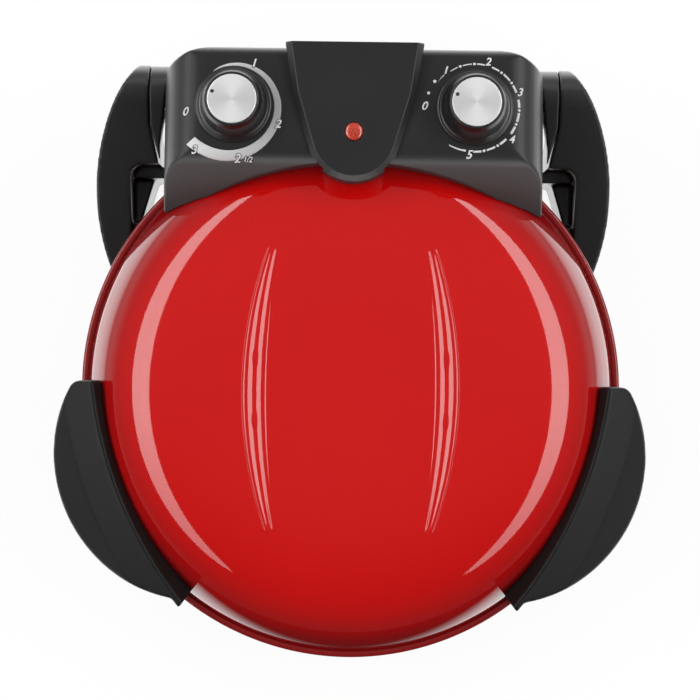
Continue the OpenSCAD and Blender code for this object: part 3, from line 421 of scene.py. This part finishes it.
# turns a closed outline of (radius, height) points in mm about an upright axis
def lathe(name, outline, segments, shape=None, relief=None):
    verts, rows, faces = [], [], []
    for radius, height in outline:
        if radius < 1e-6:
            rows.append([len(verts)])
            verts.append(Vector((0, 0, height)))
            continue
        row = []
        for step in range(segments):
            angle = 2 * math.pi * step / segments
            point = Vector((radius * math.cos(angle), radius * math.sin(angle), height))
            if relief:
                point.z += relief(point.x, point.y, height)
            row.append(len(verts))
            verts.append(point)
        rows.append(row)
    for index, row in enumerate(rows):
        other = rows[(index + 1) % len(rows)]
        if len(row) == 1 and len(other) == 1:
            continue
        for step in range(segments):
            ahead = (step + 1) % segments
            if len(row) == 1:
                faces.append((row[0], other[ahead], other[step]))
            elif len(other) == 1:
                faces.append((row[step], row[ahead], other[0]))
            else:
                faces.append((row[step], row[ahead], other[ahead], other[step]))
    shape = shape or Matrix.Translation((0, ovenY, 0))
    mesh = bpy.data.meshes.new(name)
    mesh.from_pydata([(shape @ point) * mm for point in verts], [], faces)
    mesh.update()
    return facingOut(mesh)


def facingOut(mesh):
    work = bmesh.new()
    work.from_mesh(mesh)
    bmesh.ops.recalc_face_normals(work, faces=work.faces)
    work.to_mesh(mesh)
    work.free()
    return mesh


# moulded copy of a solid: an even skin with softly rounded edges
def mouldedSkin(name, nodeName, grid, rounds):
    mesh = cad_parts[nodeName].data.copy()
    work = bmesh.new()
    work.from_mesh(mesh)
    bmesh.ops.remove_doubles(work, verts=work.verts, dist=1e-6)
    work.to_mesh(mesh)
    work.free()
    blank = bpy.data.objects.new(name + "_blank", mesh)
    bpy.context.scene.collection.objects.link(blank)
    skin = blank.modifiers.new("skin", "REMESH")
    skin.mode, skin.voxel_size, skin.adaptivity = "VOXEL", grid * mm, 0.0
    soften = blank.modifiers.new("soften", "SMOOTH")
    soften.factor, soften.iterations = 0.5, rounds
    solid = blank.evaluated_get(bpy.context.evaluated_depsgraph_get())
    skinned = bpy.data.meshes.new_from_object(solid)
    skinned.name = name
    bpy.data.objects.remove(blank)
    bpy.data.meshes.remove(mesh)
    return skinned


# red shells

shell = {"wall": 163.8, "rim": 169.1, "bead": 1.6, "roll": 2.5, "rise": 52.0, "depth": 66.0, "sheet": 1.0,
         "domePower": 4.5, "bowlPower": 4, "bowlTall": 2.4, "domeSegments": 1100, "bowlSegments": 288,
         "middleRings": (0, 8, 16, 24, 32, 38, 42), "fine": 0.3, "fineTo": 101,
         "coarse": 1.5, "coarseTo": 110}
# pressed ribs; the slope is drawn for a half width of "wide" and scaled to the rib's own
ribs = {"half": 87.0, "outer": 65.9, "outerEnd": 50.6, "inner": 50.4, "innerEnd": 43.8,
        "wide": 7.8, "valley": -0.8, "outerFlank": (0.49, 1.4, 4.0), "innerFlank": (0.43, 1.7, 3.5),
        "flankEnd": 5.4, "brow": 0.46, "browFull": 6.3, "browSlack": 7.2, "end": 5.0, "above": 100}


def lineAt(y, middle, end):
    sag = middle - end
    radius = (ribs["half"] ** 2 + sag ** 2) / (2 * sag)
    return middle - radius + math.sqrt(max(radius ** 2 - y ** 2, 0.0))


# height of a slope that starts flat, stays even and ends flat again
def easedSlope(d, start, full, slack, end):
    d = min(max(d, start), end)
    rise = min(d, full) - start
    height = 0.5 * rise * rise / (full - start)
    if d > full:
        height += min(d, slack) - full
    if d > slack:
        left = end - slack
        height += (d - slack) - 0.5 * (d - slack) ** 2 / left
    return height


# twin pressed ribs with a valley between them and steep outer feet
def ribRelief(x, y, height):
    if height < ribs["above"] or abs(y) > ribs["half"] - 0.2:
        return 0.0
    outer, inner = (lineAt(y, ribs[side], ribs[side + "End"]) for side in ("outer", "inner"))
    half = (outer - inner) / 2
    offset = abs(x) - (outer + inner) / 2
    d = abs(offset) * ribs["wide"] / half
    if d >= ribs["wide"]:
        return 0.0
    steep, full, slack = ribs["outerFlank"] if offset > 0 else ribs["innerFlank"]
    lift = ribs["valley"] + steep * easedSlope(d, 0.0, full, slack, ribs["flankEnd"])
    lift -= ribs["brow"] * easedSlope(d, ribs["flankEnd"], ribs["browFull"], ribs["browSlack"], ribs["wide"])
    if d > ribs["browSlack"]:
        lift *= (ribs["wide"] - d) / (ribs["wide"] - ribs["browSlack"])
    return lift * half / ribs["wide"] * min(1.0, (ribs["half"] - abs(y)) / ribs["end"]) ** 0.5


def domeHeight(radius):
    return shell["rise"] * max(0.0, 1 - (radius / shell["wall"]) ** shell["domePower"]) ** 0.5


def lidOutline():
    wall, sheet, power = shell["wall"], shell["sheet"], shell["domePower"]
    radii = list(shell["middleRings"])
    while radii[-1] < shell["fineTo"]:
        radii.append(radii[-1] + shell["fine"])
    while radii[-1] < shell["coarseTo"]:
        radii.append(radii[-1] + shell["coarse"])
    outer = [(radius, lidRim + domeHeight(radius)) for radius in radii]
    start = math.acos((radii[-1] / wall) ** (power / 2))
    for step in range(1, 61):
        angle = start * (1 - step / 60)
        height = shell["rise"] * math.sin(angle)
        if height > 2.6:
            outer.append((wall * math.cos(angle) ** (2 / power), lidRim + height))
    rim = [(wall - 0.02, lidRim + 2.5), (wall, lidRim + 1.9)]
    for step in range(0, 18):
        angle = math.radians(165 - 15 * step)
        rim.append((shell["rim"] - shell["roll"] * (1 - math.cos(angle)),
                    lidRim + shell["bead"] * (1 + math.sin(angle))))
    inner = [(wall - sheet, lidRim)]
    for step in range(2, 25):
        angle = math.pi / 2 * step / 24
        inner.append(((wall - sheet) * math.cos(angle) ** (2 / power) if step < 24 else 0.0,
                      lidRim + (shell["rise"] - sheet) * math.sin(angle)))
    return outer + rim + inner


def bowlOutline():
    wall, sheet, depth = shell["wall"], shell["sheet"], shell["depth"]
    wide, tall = 2 / shell["bowlPower"], 2 / shell["bowlTall"]
    outer, inner = [], []
    for step in range(0, 61):
        angle = math.pi / 2 * (1 - step / 60)
        outer.append((0.0 if step == 0 else wall * math.cos(angle) ** wide,
                      baseRim - depth * math.sin(angle) ** tall))
    outer = [point for point in outer if point[1] < baseRim - 2]
    bead = shell["rim"] - shell["bead"]
    rim = [(wall, baseRim - 1.6), (wall + 0.5, baseRim - 1.1), (bead - 1.5, baseRim - 1)]
    for step in range(0, 21):
        angle = math.radians(155 + 15 * step)
        if angle < math.radians(452):
            rim.append((bead + shell["bead"] * math.cos(angle),
                        baseRim + shell["bead"] * (math.sin(angle) - 1)))
    for step in range(0, 31):
        angle = math.pi / 2 * step / 30
        inner.append(((wall - sheet) * math.cos(angle) ** wide if step < 30 else 0.0,
                      baseRim - (depth - sheet) * math.sin(angle) ** tall))
    return outer + rim + inner


addPiece("lid_dome", lathe("lid_dome", lidOutline(), shell["domeSegments"], relief=ribRelief),
         "lid", redPaint, ["lid_shell"])
addPiece("base_bowl", lathe("base_bowl", bowlOutline(), shell["bowlSegments"]),
         "base", redPaint, ["base_shell"])
print("shells built")


# black mouldings

# for each kind of moulding the mesh size in mm and the rounds of smoothing
moulding = {"housing": (0.9, 6), "arm": (1.1, 4), "handle": (0.8, 18), "tongue": (0.6, 3), "cheek": (0.8, 3),
            "box": (1.3, 5)}

housing = addPiece("housing_cover", mouldedSkin("housing_cover", "control_housing", *moulding["housing"]),
                   "lid", blackPlastic, ["control_housing"])
tongue = addPiece("tongue_cover", mouldedSkin("tongue_cover", "tongue_panel", *moulding["tongue"]),
                  "lid", blackPlastic, ["tongue_panel"])
sideMouldings = []
for side in ("left", "right"):
    for kind, body, grid, material in (("arm", "base", "arm", armPlastic),
                                       ("base_handle", "base", "handle", handlePlastic),
                                       ("lid_handle", "lid", "handle", handlePlastic),
                                       ("hinge_cheek", "lid", "cheek", armPlastic)):
        name = kind + "_" + side
        skin = mouldedSkin(name + "_moulding", name, *moulding[grid])
        sideMouldings.append(addPiece(name + "_moulding", skin, body, material, [name]))
addPiece("rear_box", mouldedSkin("rear_box", "junction_box", *moulding["box"]), "base",
         armPlastic, ["junction_box"])
print("mouldings built")


# knobs

knob = {"x": 72.5, "y": 170.5, "z": 140.3, "tilt": 4.0, "skirt": 23.0, "cap": 14.8, "height": 19.0}


def knobPlace(side):
    return (Matrix.Translation((side * knob["x"], knob["y"] + ovenY, knob["z"]))
            @ Matrix.Rotation(math.radians(-knob["tilt"]), 4, "X"))


def skirtOutline():
    skirt, cap, top = knob["skirt"], knob["cap"], knob["height"]
    return softCorners([
        (3.56, 0.5, 0), (skirt, 0.5, 0.25), (skirt, 2.0, 0.5), (skirt - 1.0, 2.4, 0.3),
        (skirt - 1.5, 3.3, 0.5), (skirt - 2.5, 3.9, 0.4), (skirt - 3.3, 5.2, 0.9),
        (cap + 2.9, top - 3.6, 1.2), (cap + 1.5, top - 0.5, 0.5), (cap + 0.9, top, 0.3),
        (cap + 0.25, top - 0.25, 0.15), (cap + 0.25, top - 1.6, 0), (3.56, top - 1.6, 0),
    ], 4)


# shallow domed cap with a rounded edge
def capOutline():
    cap, base = knob["cap"], knob["height"] - 1.55
    return [(0.0, base), (cap, base), (cap, base + 1.2)] + [
        (cap - 0.7 + 0.7 * math.cos(math.radians(a)), base + 1.2 + 0.7 * math.sin(math.radians(a)))
        for a in range(15, 91, 15)] + [(cap * share, base + 1.9 + 0.35 * (1 - share ** 2))
                                       for share in (0.93, 0.8, 0.6, 0.4, 0.2, 0.08)] + [(0.0, base + 2.25)]


def dotOutline():
    return softCorners([(0, 0, 0), (1.15, 0, 0), (1.15, 0.5, 0.18), (0.0, 0.4, 0)], 3)


# dark dot near the rim of each cap; reach is a share of the cap's radius
marker = {"angle": 160, "reach": 0.83, "height": 19.35}

for side, word in ((-1, "temperature"), (1, "timer")):
    place = knobPlace(side)
    body = word + "_control"
    addPiece(word + "_skirt", lathe(word + "_skirt", skirtOutline(), 160, place), body,
             knobPlastic, [word + "_knob"])
    centre = place @ Vector((0, 0, knob["height"])) * mm
    addPiece(word + "_disc", lathe(word + "_disc", capOutline(), 160, place), body,
             spunMetal(word + "_spun", centre), [word + "_cap"])
    turn = math.radians(marker["angle"])
    reach = knob["cap"] * marker["reach"]
    spot = (reach * math.cos(turn), reach * math.sin(turn), marker["height"] - 0.3)
    dot = lathe(word + "_marker", dotOutline(), 40, place @ Matrix.Translation(spot))
    addPiece(word + "_marker", dot, body, knobPlastic)
print("knobs built")


# printed scales, laid on the housing; print layers are lift and thickness in mm

skinTree = BVHTree.FromPolygons([v.co for v in housing.data.vertices],
                                [tuple(p.vertices) for p in housing.data.polygons])


# lets flat work down onto the housing and gives it a little thickness
def layOn(name, work, lift, thick, longest=0.9):
    for _ in range(6):
        long = [edge for edge in work.edges if edge.calc_length() > longest * mm]
        if not long:
            break
        bmesh.ops.subdivide_edges(work, edges=long, cuts=1, use_grid_fill=False)
        bmesh.ops.triangulate(work, faces=work.faces)
    top = {}
    flat = list(work.verts)
    for vert in flat:
        hit, normal, _, _ = skinTree.ray_cast(Vector((vert.co.x, vert.co.y, 0.2)), Vector((0, 0, -1)))
        top[vert] = (hit if hit else vert.co.copy(), normal if hit else Vector((0, 0, 1)))
    doubled = bmesh.ops.duplicate(work, geom=list(work.faces) + list(work.edges) + flat)
    twin = doubled["vert_map"]
    border = [edge for edge in work.edges if len(edge.link_faces) == 1 and edge.verts[0] in top]
    for edge in border:
        a, b = edge.verts
        work.faces.new((a, b, twin[b], twin[a]))
    for vert, (point, normal) in top.items():
        vert.co = point + normal * (lift + thick) * mm
        twin[vert].co = point + normal * lift * mm
    mesh = bpy.data.meshes.new(name)
    work.to_mesh(mesh)
    work.free()
    return facingOut(mesh)


# point on a dial in metres; the angle is anticlockwise from the right
def dialPoint(side, radius, angle):
    turn = math.radians(angle)
    return Vector((side * knob["x"] + radius * math.cos(turn),
                   knob["y"] + ovenY + radius * math.sin(turn), 0)) * mm


def addBand(work, side, start, end, inner, outer, steps):
    before = None
    for step in range(steps + 1):
        t = step / steps
        angle = start + (end - start) * t
        pair = [work.verts.new(dialPoint(side, edge(t), angle)) for edge in (inner, outer)]
        if before:
            work.faces.new((before[0], before[1], pair[1], pair[0]))
        before = pair


def addDot(work, side, radius, angle, size):
    centre = dialPoint(side, radius, angle)
    rim = [work.verts.new(centre + Vector((math.cos(a), math.sin(a), 0)) * size * mm)
           for a in (2 * math.pi * i / 16 for i in range(16))]
    middle = work.verts.new(centre)
    for index in range(16):
        work.faces.new((middle, rim[index], rim[(index + 1) % 16]))


digits = {"size": 7.0, "slant": 0.28, "bold": 0.16, "halo": 0.5}


def addText(work, side, text, radius, angle, size, bold):
    curve = bpy.data.curves.new("digit", "FONT")
    curve.body, curve.size, curve.offset = text, size * mm, bold * mm
    curve.align_x = curve.align_y = "CENTER"
    curve.shear, curve.resolution_u = digits["slant"], 6
    holder = bpy.data.objects.new("digit", curve)
    bpy.context.scene.collection.objects.link(holder)
    mesh = bpy.data.meshes.new_from_object(holder.evaluated_get(bpy.context.evaluated_depsgraph_get()))
    mesh.transform(Matrix.Translation(dialPoint(side, radius, angle)))
    work.from_mesh(mesh)
    bpy.data.objects.remove(holder)
    bpy.data.curves.remove(curve)
    bpy.data.meshes.remove(mesh)


temperatureScale = {"start": 122, "end": -139, "inner": 23.5, "grow": 6.7, "growPower": 2.6,
                    "tip": 0.08, "width": 6.8, "widthPower": 0.65, "steps": 90}
# text, radius, angle and share of the usual size of each figure
temperatureDigits = [("0", 29.4, 188.8, 1.0), ("1", 27.6, 65, 1.0), ("2", 29.1, -23.3, 1.0),
                     ("2", 32.3, -85.5, 1.0), ("1/2", 33.9, -75.0, 0.62), ("3", 36.2, -130.3, 1.0)]
timerDigits = [("0", 30.5, 179, 1.0), ("1", 28.7, 129, 0.95), ("2", 28.7, 75, 0.95), ("3", 28.4, 20, 0.95),
               ("4", 29.0, -41, 0.95), ("5", 28.6, -97, 1.0)]
timerScale = {"radius": 26.5, "first": 129, "step": 18.8, "dashes": 12, "thin": 0.55, "thick": 1.5,
              "fullAt": 6, "thinnerFrom": 8, "thinner": 0.12, "digitEvery": 3, "digitGap": 4.6,
              "dotGap": 3.4, "dot": 0.85}
# wedges at both ends of the timer's scale: offsets of their edges from its radius, and how these grow
timerWedges = [
    {"start": 145, "end": 133.5, "inner": 0.6, "innerGrow": -0.25,
     "outer": 0.65, "outerGrow": 0.25, "steps": 4},
    {"start": -101.5, "end": -124, "inner": -0.6, "innerGrow": 1.2,
     "outer": 0.6, "outerGrow": 0.65, "steps": 8},
]
# radius, angle and size of the dots ahead of the timer's scale
timerDots = [(28.9, 147.3, 1.0), (29.2, 163, 0.95)]
printLayer = {"scale": (0.02, 0.05), "edge": (0.085, 0.03), "digit": (0.14, 0.05)}
temperaturePrint = {"grey": 0.46, "white": 0.88, "lowX": -0.1, "highX": -0.045}
timerPrint = {"grey": 0.82, "white": 0.88, "lowX": 0.04, "highX": 0.11}
digitPrint = {"grey": 0.86, "white": 0.88, "lowX": -1, "highX": 1}


def temperatureInner(t):
    return temperatureScale["inner"] + temperatureScale["grow"] * t ** temperatureScale["growPower"]


def temperatureOuter(t):
    width = temperatureScale["width"] * t ** temperatureScale["widthPower"]
    return temperatureInner(t) + temperatureScale["tip"] + width


def addTimerDash(work, index):
    radius, step = timerScale["radius"], timerScale["step"]
    angle = timerScale["first"] - step * index
    share = min(1.0, index / timerScale["fullAt"])
    if index > timerScale["thinnerFrom"]:
        share = 1 - (index - timerScale["thinnerFrom"]) * timerScale["thinner"]
    half = (timerScale["thin"] + (timerScale["thick"] - timerScale["thin"]) * share) / 2
    atDigit = index % timerScale["digitEvery"] == 0
    beforeDigit = (index + 1) % timerScale["digitEvery"] == 0
    gap = timerScale["digitGap"] if atDigit else timerScale["dotGap"]
    ahead = timerScale["digitGap"] if beforeDigit else timerScale["dotGap"]
    addBand(work, 1, angle - gap, angle - step + ahead, lambda t: radius - half, lambda t: radius + half, 6)
    if not atDigit:
        addDot(work, 1, radius, angle, timerScale["dot"])


def addTimerWedge(work, wedge):
    radius = timerScale["radius"]
    addBand(work, 1, wedge["start"], wedge["end"], lambda t: radius + wedge["inner"] + wedge["innerGrow"] * t,
            lambda t: radius + wedge["outer"] + wedge["outerGrow"] * t, wedge["steps"])


work = bmesh.new()
addBand(work, -1, temperatureScale["start"], temperatureScale["end"], temperatureInner, temperatureOuter,
        temperatureScale["steps"])
addPiece("temperature_scale", layOn("temperature_scale", work, *printLayer["scale"]), "lid",
         dialPrint("print_scale", **temperaturePrint))

work = bmesh.new()
for index in range(timerScale["dashes"]):
    addTimerDash(work, index)
for wedge in timerWedges:
    addTimerWedge(work, wedge)
for radius, angle, size in timerDots:
    addDot(work, 1, radius, angle, size)
addPiece("timer_scale", layOn("timer_scale", work, *printLayer["scale"]), "lid",
         dialPrint("print_timer", **timerPrint))

for side, word, marks in ((-1, "temperature", temperatureDigits), (1, "timer", timerDigits)):
    front, halo = bmesh.new(), bmesh.new()
    for text, radius, angle, scale in marks:
        addText(front, side, text, radius, angle, digits["size"] * scale, digits["bold"] * scale)
        addText(halo, side, text, radius, angle, digits["size"] * scale, digits["halo"])
    addPiece(word + "_digits", layOn(word + "_digits", front, *printLayer["digit"]), "lid",
             dialPrint(word + "_print_digits", **digitPrint))
    addPiece(word + "_digit_edges", layOn(word + "_digit_edges", halo, *printLayer["edge"]), "lid",
             blackPlastic)
print("scales printed")


# lens, feet and stone

lensShape = {"radius": 5.3, "y": 154.7, "foot": 138.4, "rim": 146.4, "dome": 1.8}


def lensOutline():
    radius, rim = lensShape["radius"], lensShape["rim"]
    low, dome = lensShape["foot"], lensShape["dome"]
    side = [(0.0, low), (radius - 0.4, low), (radius, low + 0.4), (radius, rim - 0.3)]
    turns = [math.radians(degrees) for degrees in range(6, 90, 7)]
    cap = [(radius * math.cos(turn), rim + dome * math.sin(turn)) for turn in turns]
    return side + cap + [(0.0, rim + dome)]


lensPlace = Matrix.Translation((0, ovenY + lensShape["y"], 0))
addPiece("signal_lens", lathe("signal_lens", lensOutline(), 96, lensPlace),
         "lid", lensOrange(), ["indicator_lens"])

foot = {"radius": 9.0, "height": 8.0, "frontReach": 143, "frontAngle": 24, "rear": (141.5, 150)}


def footOutline():
    radius, height = foot["radius"], foot["height"]
    sole = [(0, 0.7, 0), (4.2, 0.7, 0.3), (4.8, 0, 0.4), (radius - 1.6, 0, 1.0), (radius - 0.5, 2.0, 0.8)]
    side = [(radius - 0.9, 3.4, 0.4), (radius, 4.4, 0.6), (radius, height, 0.3)]
    stem = [(3, height, 0), (3, height + 5, 0.4), (0, height + 5, 0)]
    return softCorners(sole + side + stem, 4)


frontTurn = math.radians(foot["frontAngle"])
frontFoot = (foot["frontReach"] * math.cos(frontTurn), -foot["frontReach"] * math.sin(frontTurn))
work = bmesh.new()
for x, y in (frontFoot, foot["rear"]):
    for side in (-1, 1):
        work.from_mesh(lathe("foot", footOutline(), 72, Matrix.Translation((side * x, y + ovenY, 0))))
feetMesh = bpy.data.meshes.new("rubber_feet")
work.to_mesh(feetMesh)
work.free()
addPiece("rubber_feet", feetMesh, "base", rubberFinish, ["feet"])

stone = {"radius": 155.0, "low": 62.0, "top": 74.0}


def stoneOutline():
    radius, low, top = stone["radius"], stone["low"], stone["top"]
    rings = [(radius * share, top, 0) for share in (0.2, 0.4, 0.6, 0.8, 0.93)]
    return softCorners([(0, top, 0)] + rings
                       + [(radius, top, 1.8), (radius, low, 1.8), (radius * 0.93, low, 0), (0, low, 0)], 5)


addPiece("baking_stone", lathe("baking_stone", stoneOutline(), 240),
         "stone", stoneFinish, ["pizza_stone"])
print("small parts built")


# stage, lights and camera

# light levels of the surroundings; distances are in metres, sky heights and directions run from -1 to 1
studio = {"fill": 0.36, "fillFront": 0.13, "fillFrom": -0.75, "fillTo": 0.25, "beside": 0.35,
          "horizon": 0.75, "horizonTop": 0.3, "horizonFoot": -0.02}
table = {"size": 14, "tone": 0.8, "cloud": 0.98, "cameraShare": 0.86, "cameraGlow": 1.06, "front": 0.03,
         "sideFrom": -0.26, "sideTo": -0.04, "near": 2.3, "nearTo": 0.22, "middle": 3.7, "middleFrom": 0.36,
         "fadeFrom": 0.42, "fadeTo": 1.3, "far": 0.95}


# 0 in front of the object, 1 beside and behind it
def besideMask(tree, x, y, low, high):
    return tree.node("MapRange", {"interpolation_type": "SMOOTHSTEP"},
                     {"Value": abs(x) + y, "From Min": low, "From Max": high, "To Min": 0.0, "To Max": 1.0})


# pale floor: the camera sees it near white with the shadow, mirrors see a bright table
def buildFloor():
    bpy.ops.mesh.primitive_plane_add(size=table["size"])
    floor = bpy.context.object
    floor.name = "floor"
    finish = Finish("floor_pale", Roughness=0.7, Specular_IOR_Level=0.0)
    cloud = finish.noise(1.5, 2)
    pale, dull = rgb(*[table["tone"]] * 3), rgb(*[table["tone"] * table["cloud"]] * 3)
    finish.set({"Base Color": finish.tint(cloud, pale, dull)})
    seen = finish.node("LightPath", out="Is Camera Ray")
    mirrored = finish.node("LightPath", out="Is Glossy Ray")
    point = finish.node("TexCoord", out="Object")
    x = finish.node("SeparateXYZ", {}, {0: point}, out=0)
    y = finish.node("SeparateXYZ", {}, {0: point}, out=1)
    reach = finish.node("VectorMath", {"operation": "LENGTH"}, {0: point}, out="Value")
    bright = finish.node("MapRange", {"interpolation_type": "SMOOTHSTEP"},
                         {"Value": reach, "From Min": table["nearTo"], "From Max": table["middleFrom"],
                          "To Min": table["near"], "To Max": table["middle"]})
    fall = finish.node("MapRange", {"interpolation_type": "SMOOTHSTEP"},
                       {"Value": reach, "From Min": table["fadeFrom"], "From Max": table["fadeTo"],
                        "To Min": 1.0, "To Max": table["far"] / table["middle"]})
    around = table["front"] + besideMask(finish, x, y, table["sideFrom"], table["sideTo"]) * (bright * fall)
    glow = finish.node("Emission", {}, {"Color": rgb(1, 1, 1),
                                        "Strength": seen * table["cameraGlow"] + (1 - seen) * around})
    share = seen * table["cameraShare"] + (1 - seen) * mirrored
    matt = Socket(finish.tree, finish.shader.outputs[0])
    mixed = finish.node("MixShader", {}, {0: share, 1: matt, 2: glow})
    finish.tree.links.new(mixed.source, finish.nodes["Material Output"].inputs["Surface"])
    floor.data.materials.append(finish.material)


# white for the camera, soft fill for the rest, brighter low down beside the object in mirrors
def buildWorld():
    world = bpy.data.worlds.new("studio")
    bpy.context.scene.world = world
    air = Tree(world)
    seen = air.node("LightPath", out="Is Camera Ray")
    mirrored = air.node("LightPath", out="Is Glossy Ray")
    look = air.node("TexCoord", out="Generated")
    x, y, z = (air.node("SeparateXYZ", {}, {0: look}, out=axis) for axis in range(3))
    low = air.node("MapRange", {"interpolation_type": "SMOOTHSTEP"},
                   {"Value": z, "From Min": studio["horizonTop"], "From Max": studio["horizonFoot"],
                    "To Min": 0.0, "To Max": studio["horizon"]})
    fill = air.node("MapRange", {"interpolation_type": "SMOOTHSTEP"},
                    {"Value": y, "From Min": studio["fillFrom"], "From Max": studio["fillTo"],
                     "To Min": studio["fillFront"], "To Max": studio["fill"]})
    around = fill + mirrored * besideMask(air, x, y, -studio["beside"], studio["beside"]) * low
    backdrop = air.nodes["Background"]
    plug(air.tree, backdrop.inputs["Color"], rgb(1, 1, 1))
    plug(air.tree, backdrop.inputs["Strength"], seen * 1.0 + (1 - seen) * around)


strip = {"front": -59, "back": 64, "up": 41.0, "tipUp": 34.0, "half": 7.2, "reach": 1.95, "steps": 48,
         "height": 0.11, "radiance": 6.0, "fadeFrom": -1.35, "fadeTo": 0.0, "tipShare": 0.6}


# bowed strip of light round one side, pointed at both ends; angles are degrees round the object
def addStrip(side):
    verts, faces = [], []
    for step in range(strip["steps"] + 1):
        share = step / strip["steps"]
        turn = math.radians(strip["front"] + (strip["back"] - strip["front"]) * share)
        bow = math.sin(math.pi * share)
        middle = strip["tipUp"] + (strip["up"] - strip["tipUp"]) * bow
        half = strip["half"] * bow ** 0.6
        for rise in (middle - half, middle + half):
            flat = strip["reach"] * math.cos(math.radians(rise))
            verts.append((side * flat * math.cos(turn), flat * math.sin(turn),
                          strip["height"] + strip["reach"] * math.sin(math.radians(rise))))
        if step:
            faces.append((2 * step - 2, 2 * step - 1, 2 * step + 1, 2 * step))
    mesh = bpy.data.meshes.new("strip")
    mesh.from_pydata(verts, [], faces)
    lamp = bpy.data.objects.new("strip", mesh)
    bpy.context.scene.collection.objects.link(lamp)
    glow = Tree(bpy.data.materials.new("strip_light"))
    cloud = glow.noise(0.8, 1)
    ahead = glow.node("SeparateXYZ", {}, {0: glow.node("TexCoord", out="Object")}, out=1)
    fade = glow.node("MapRange", {"interpolation_type": "SMOOTHSTEP"},
                     {"Value": ahead, "From Min": strip["fadeFrom"], "From Max": strip["fadeTo"],
                      "To Min": strip["tipShare"], "To Max": 1.0})
    shine = glow.node("Emission", {}, {"Color": rgb(1, 1, 1), "Strength": fade * glow.between(
        cloud, strip["radiance"] * 0.97, strip["radiance"] * 1.03)})
    glow.tree.links.new(shine.source, glow.nodes["Material Output"].inputs["Surface"])
    mesh.materials.append(glow.owner)


# low light in front of the housing and the tongue, and a high one behind for the handles and arms
housingLight = {"name": "housing_light", "place": (0, -1.75, 0.5), "across": 2.4, "high": 0.9,
                "radiance": 3.3}
handleLight = {"name": "handle_light", "place": (0, 1.3, 0.9), "across": 1.2, "high": 0.6, "radiance": 1.6}
lightTarget = (0, 0.15, 0.1)


# soft light that only the given black mouldings take
def addMouldingLight(light, pieces):
    lamp = bpy.data.lights.new(light["name"], "AREA")
    lamp.shape, lamp.size, lamp.size_y = "RECTANGLE", light["across"], light["high"]
    lamp.energy = light["radiance"] * math.pi * light["across"] * light["high"]
    holder = bpy.data.objects.new(light["name"], lamp)
    bpy.context.scene.collection.objects.link(holder)
    holder.location = light["place"]
    holder.rotation_euler = (Vector(lightTarget) - Vector(light["place"])).to_track_quat("-Z", "Y").to_euler()
    takers = bpy.data.collections.new(light["name"] + "_takers")
    for piece in pieces:
        takers.objects.link(piece)
    holder.light_linking.receiver_collection = takers
    holder.light_linking.blocker_collection = takers


buildFloor()
buildWorld()
for side in (-1, 1):
    addStrip(side)
addMouldingLight(housingLight, [housing, tongue])
addMouldingLight(handleLight, sideMouldings)

cameraView = {"place": (-0.001, 0.0045, 1.33), "roll": 0.75, "focal": 102.0, "shift": 0.6 / 700}
lensData = bpy.data.cameras.new("camera")
lensData.lens, lensData.sensor_width = cameraView["focal"], 36.0
lensData.shift_x = cameraView["shift"]
camera = bpy.data.objects.new("camera", lensData)
bpy.context.scene.collection.objects.link(camera)
camera.location = cameraView["place"]
camera.rotation_euler = (0, 0, math.radians(cameraView["roll"]))
bpy.context.scene.camera = camera
bpy.context.scene.view_settings.view_transform = "Standard"
print("stage, lights and camera set")
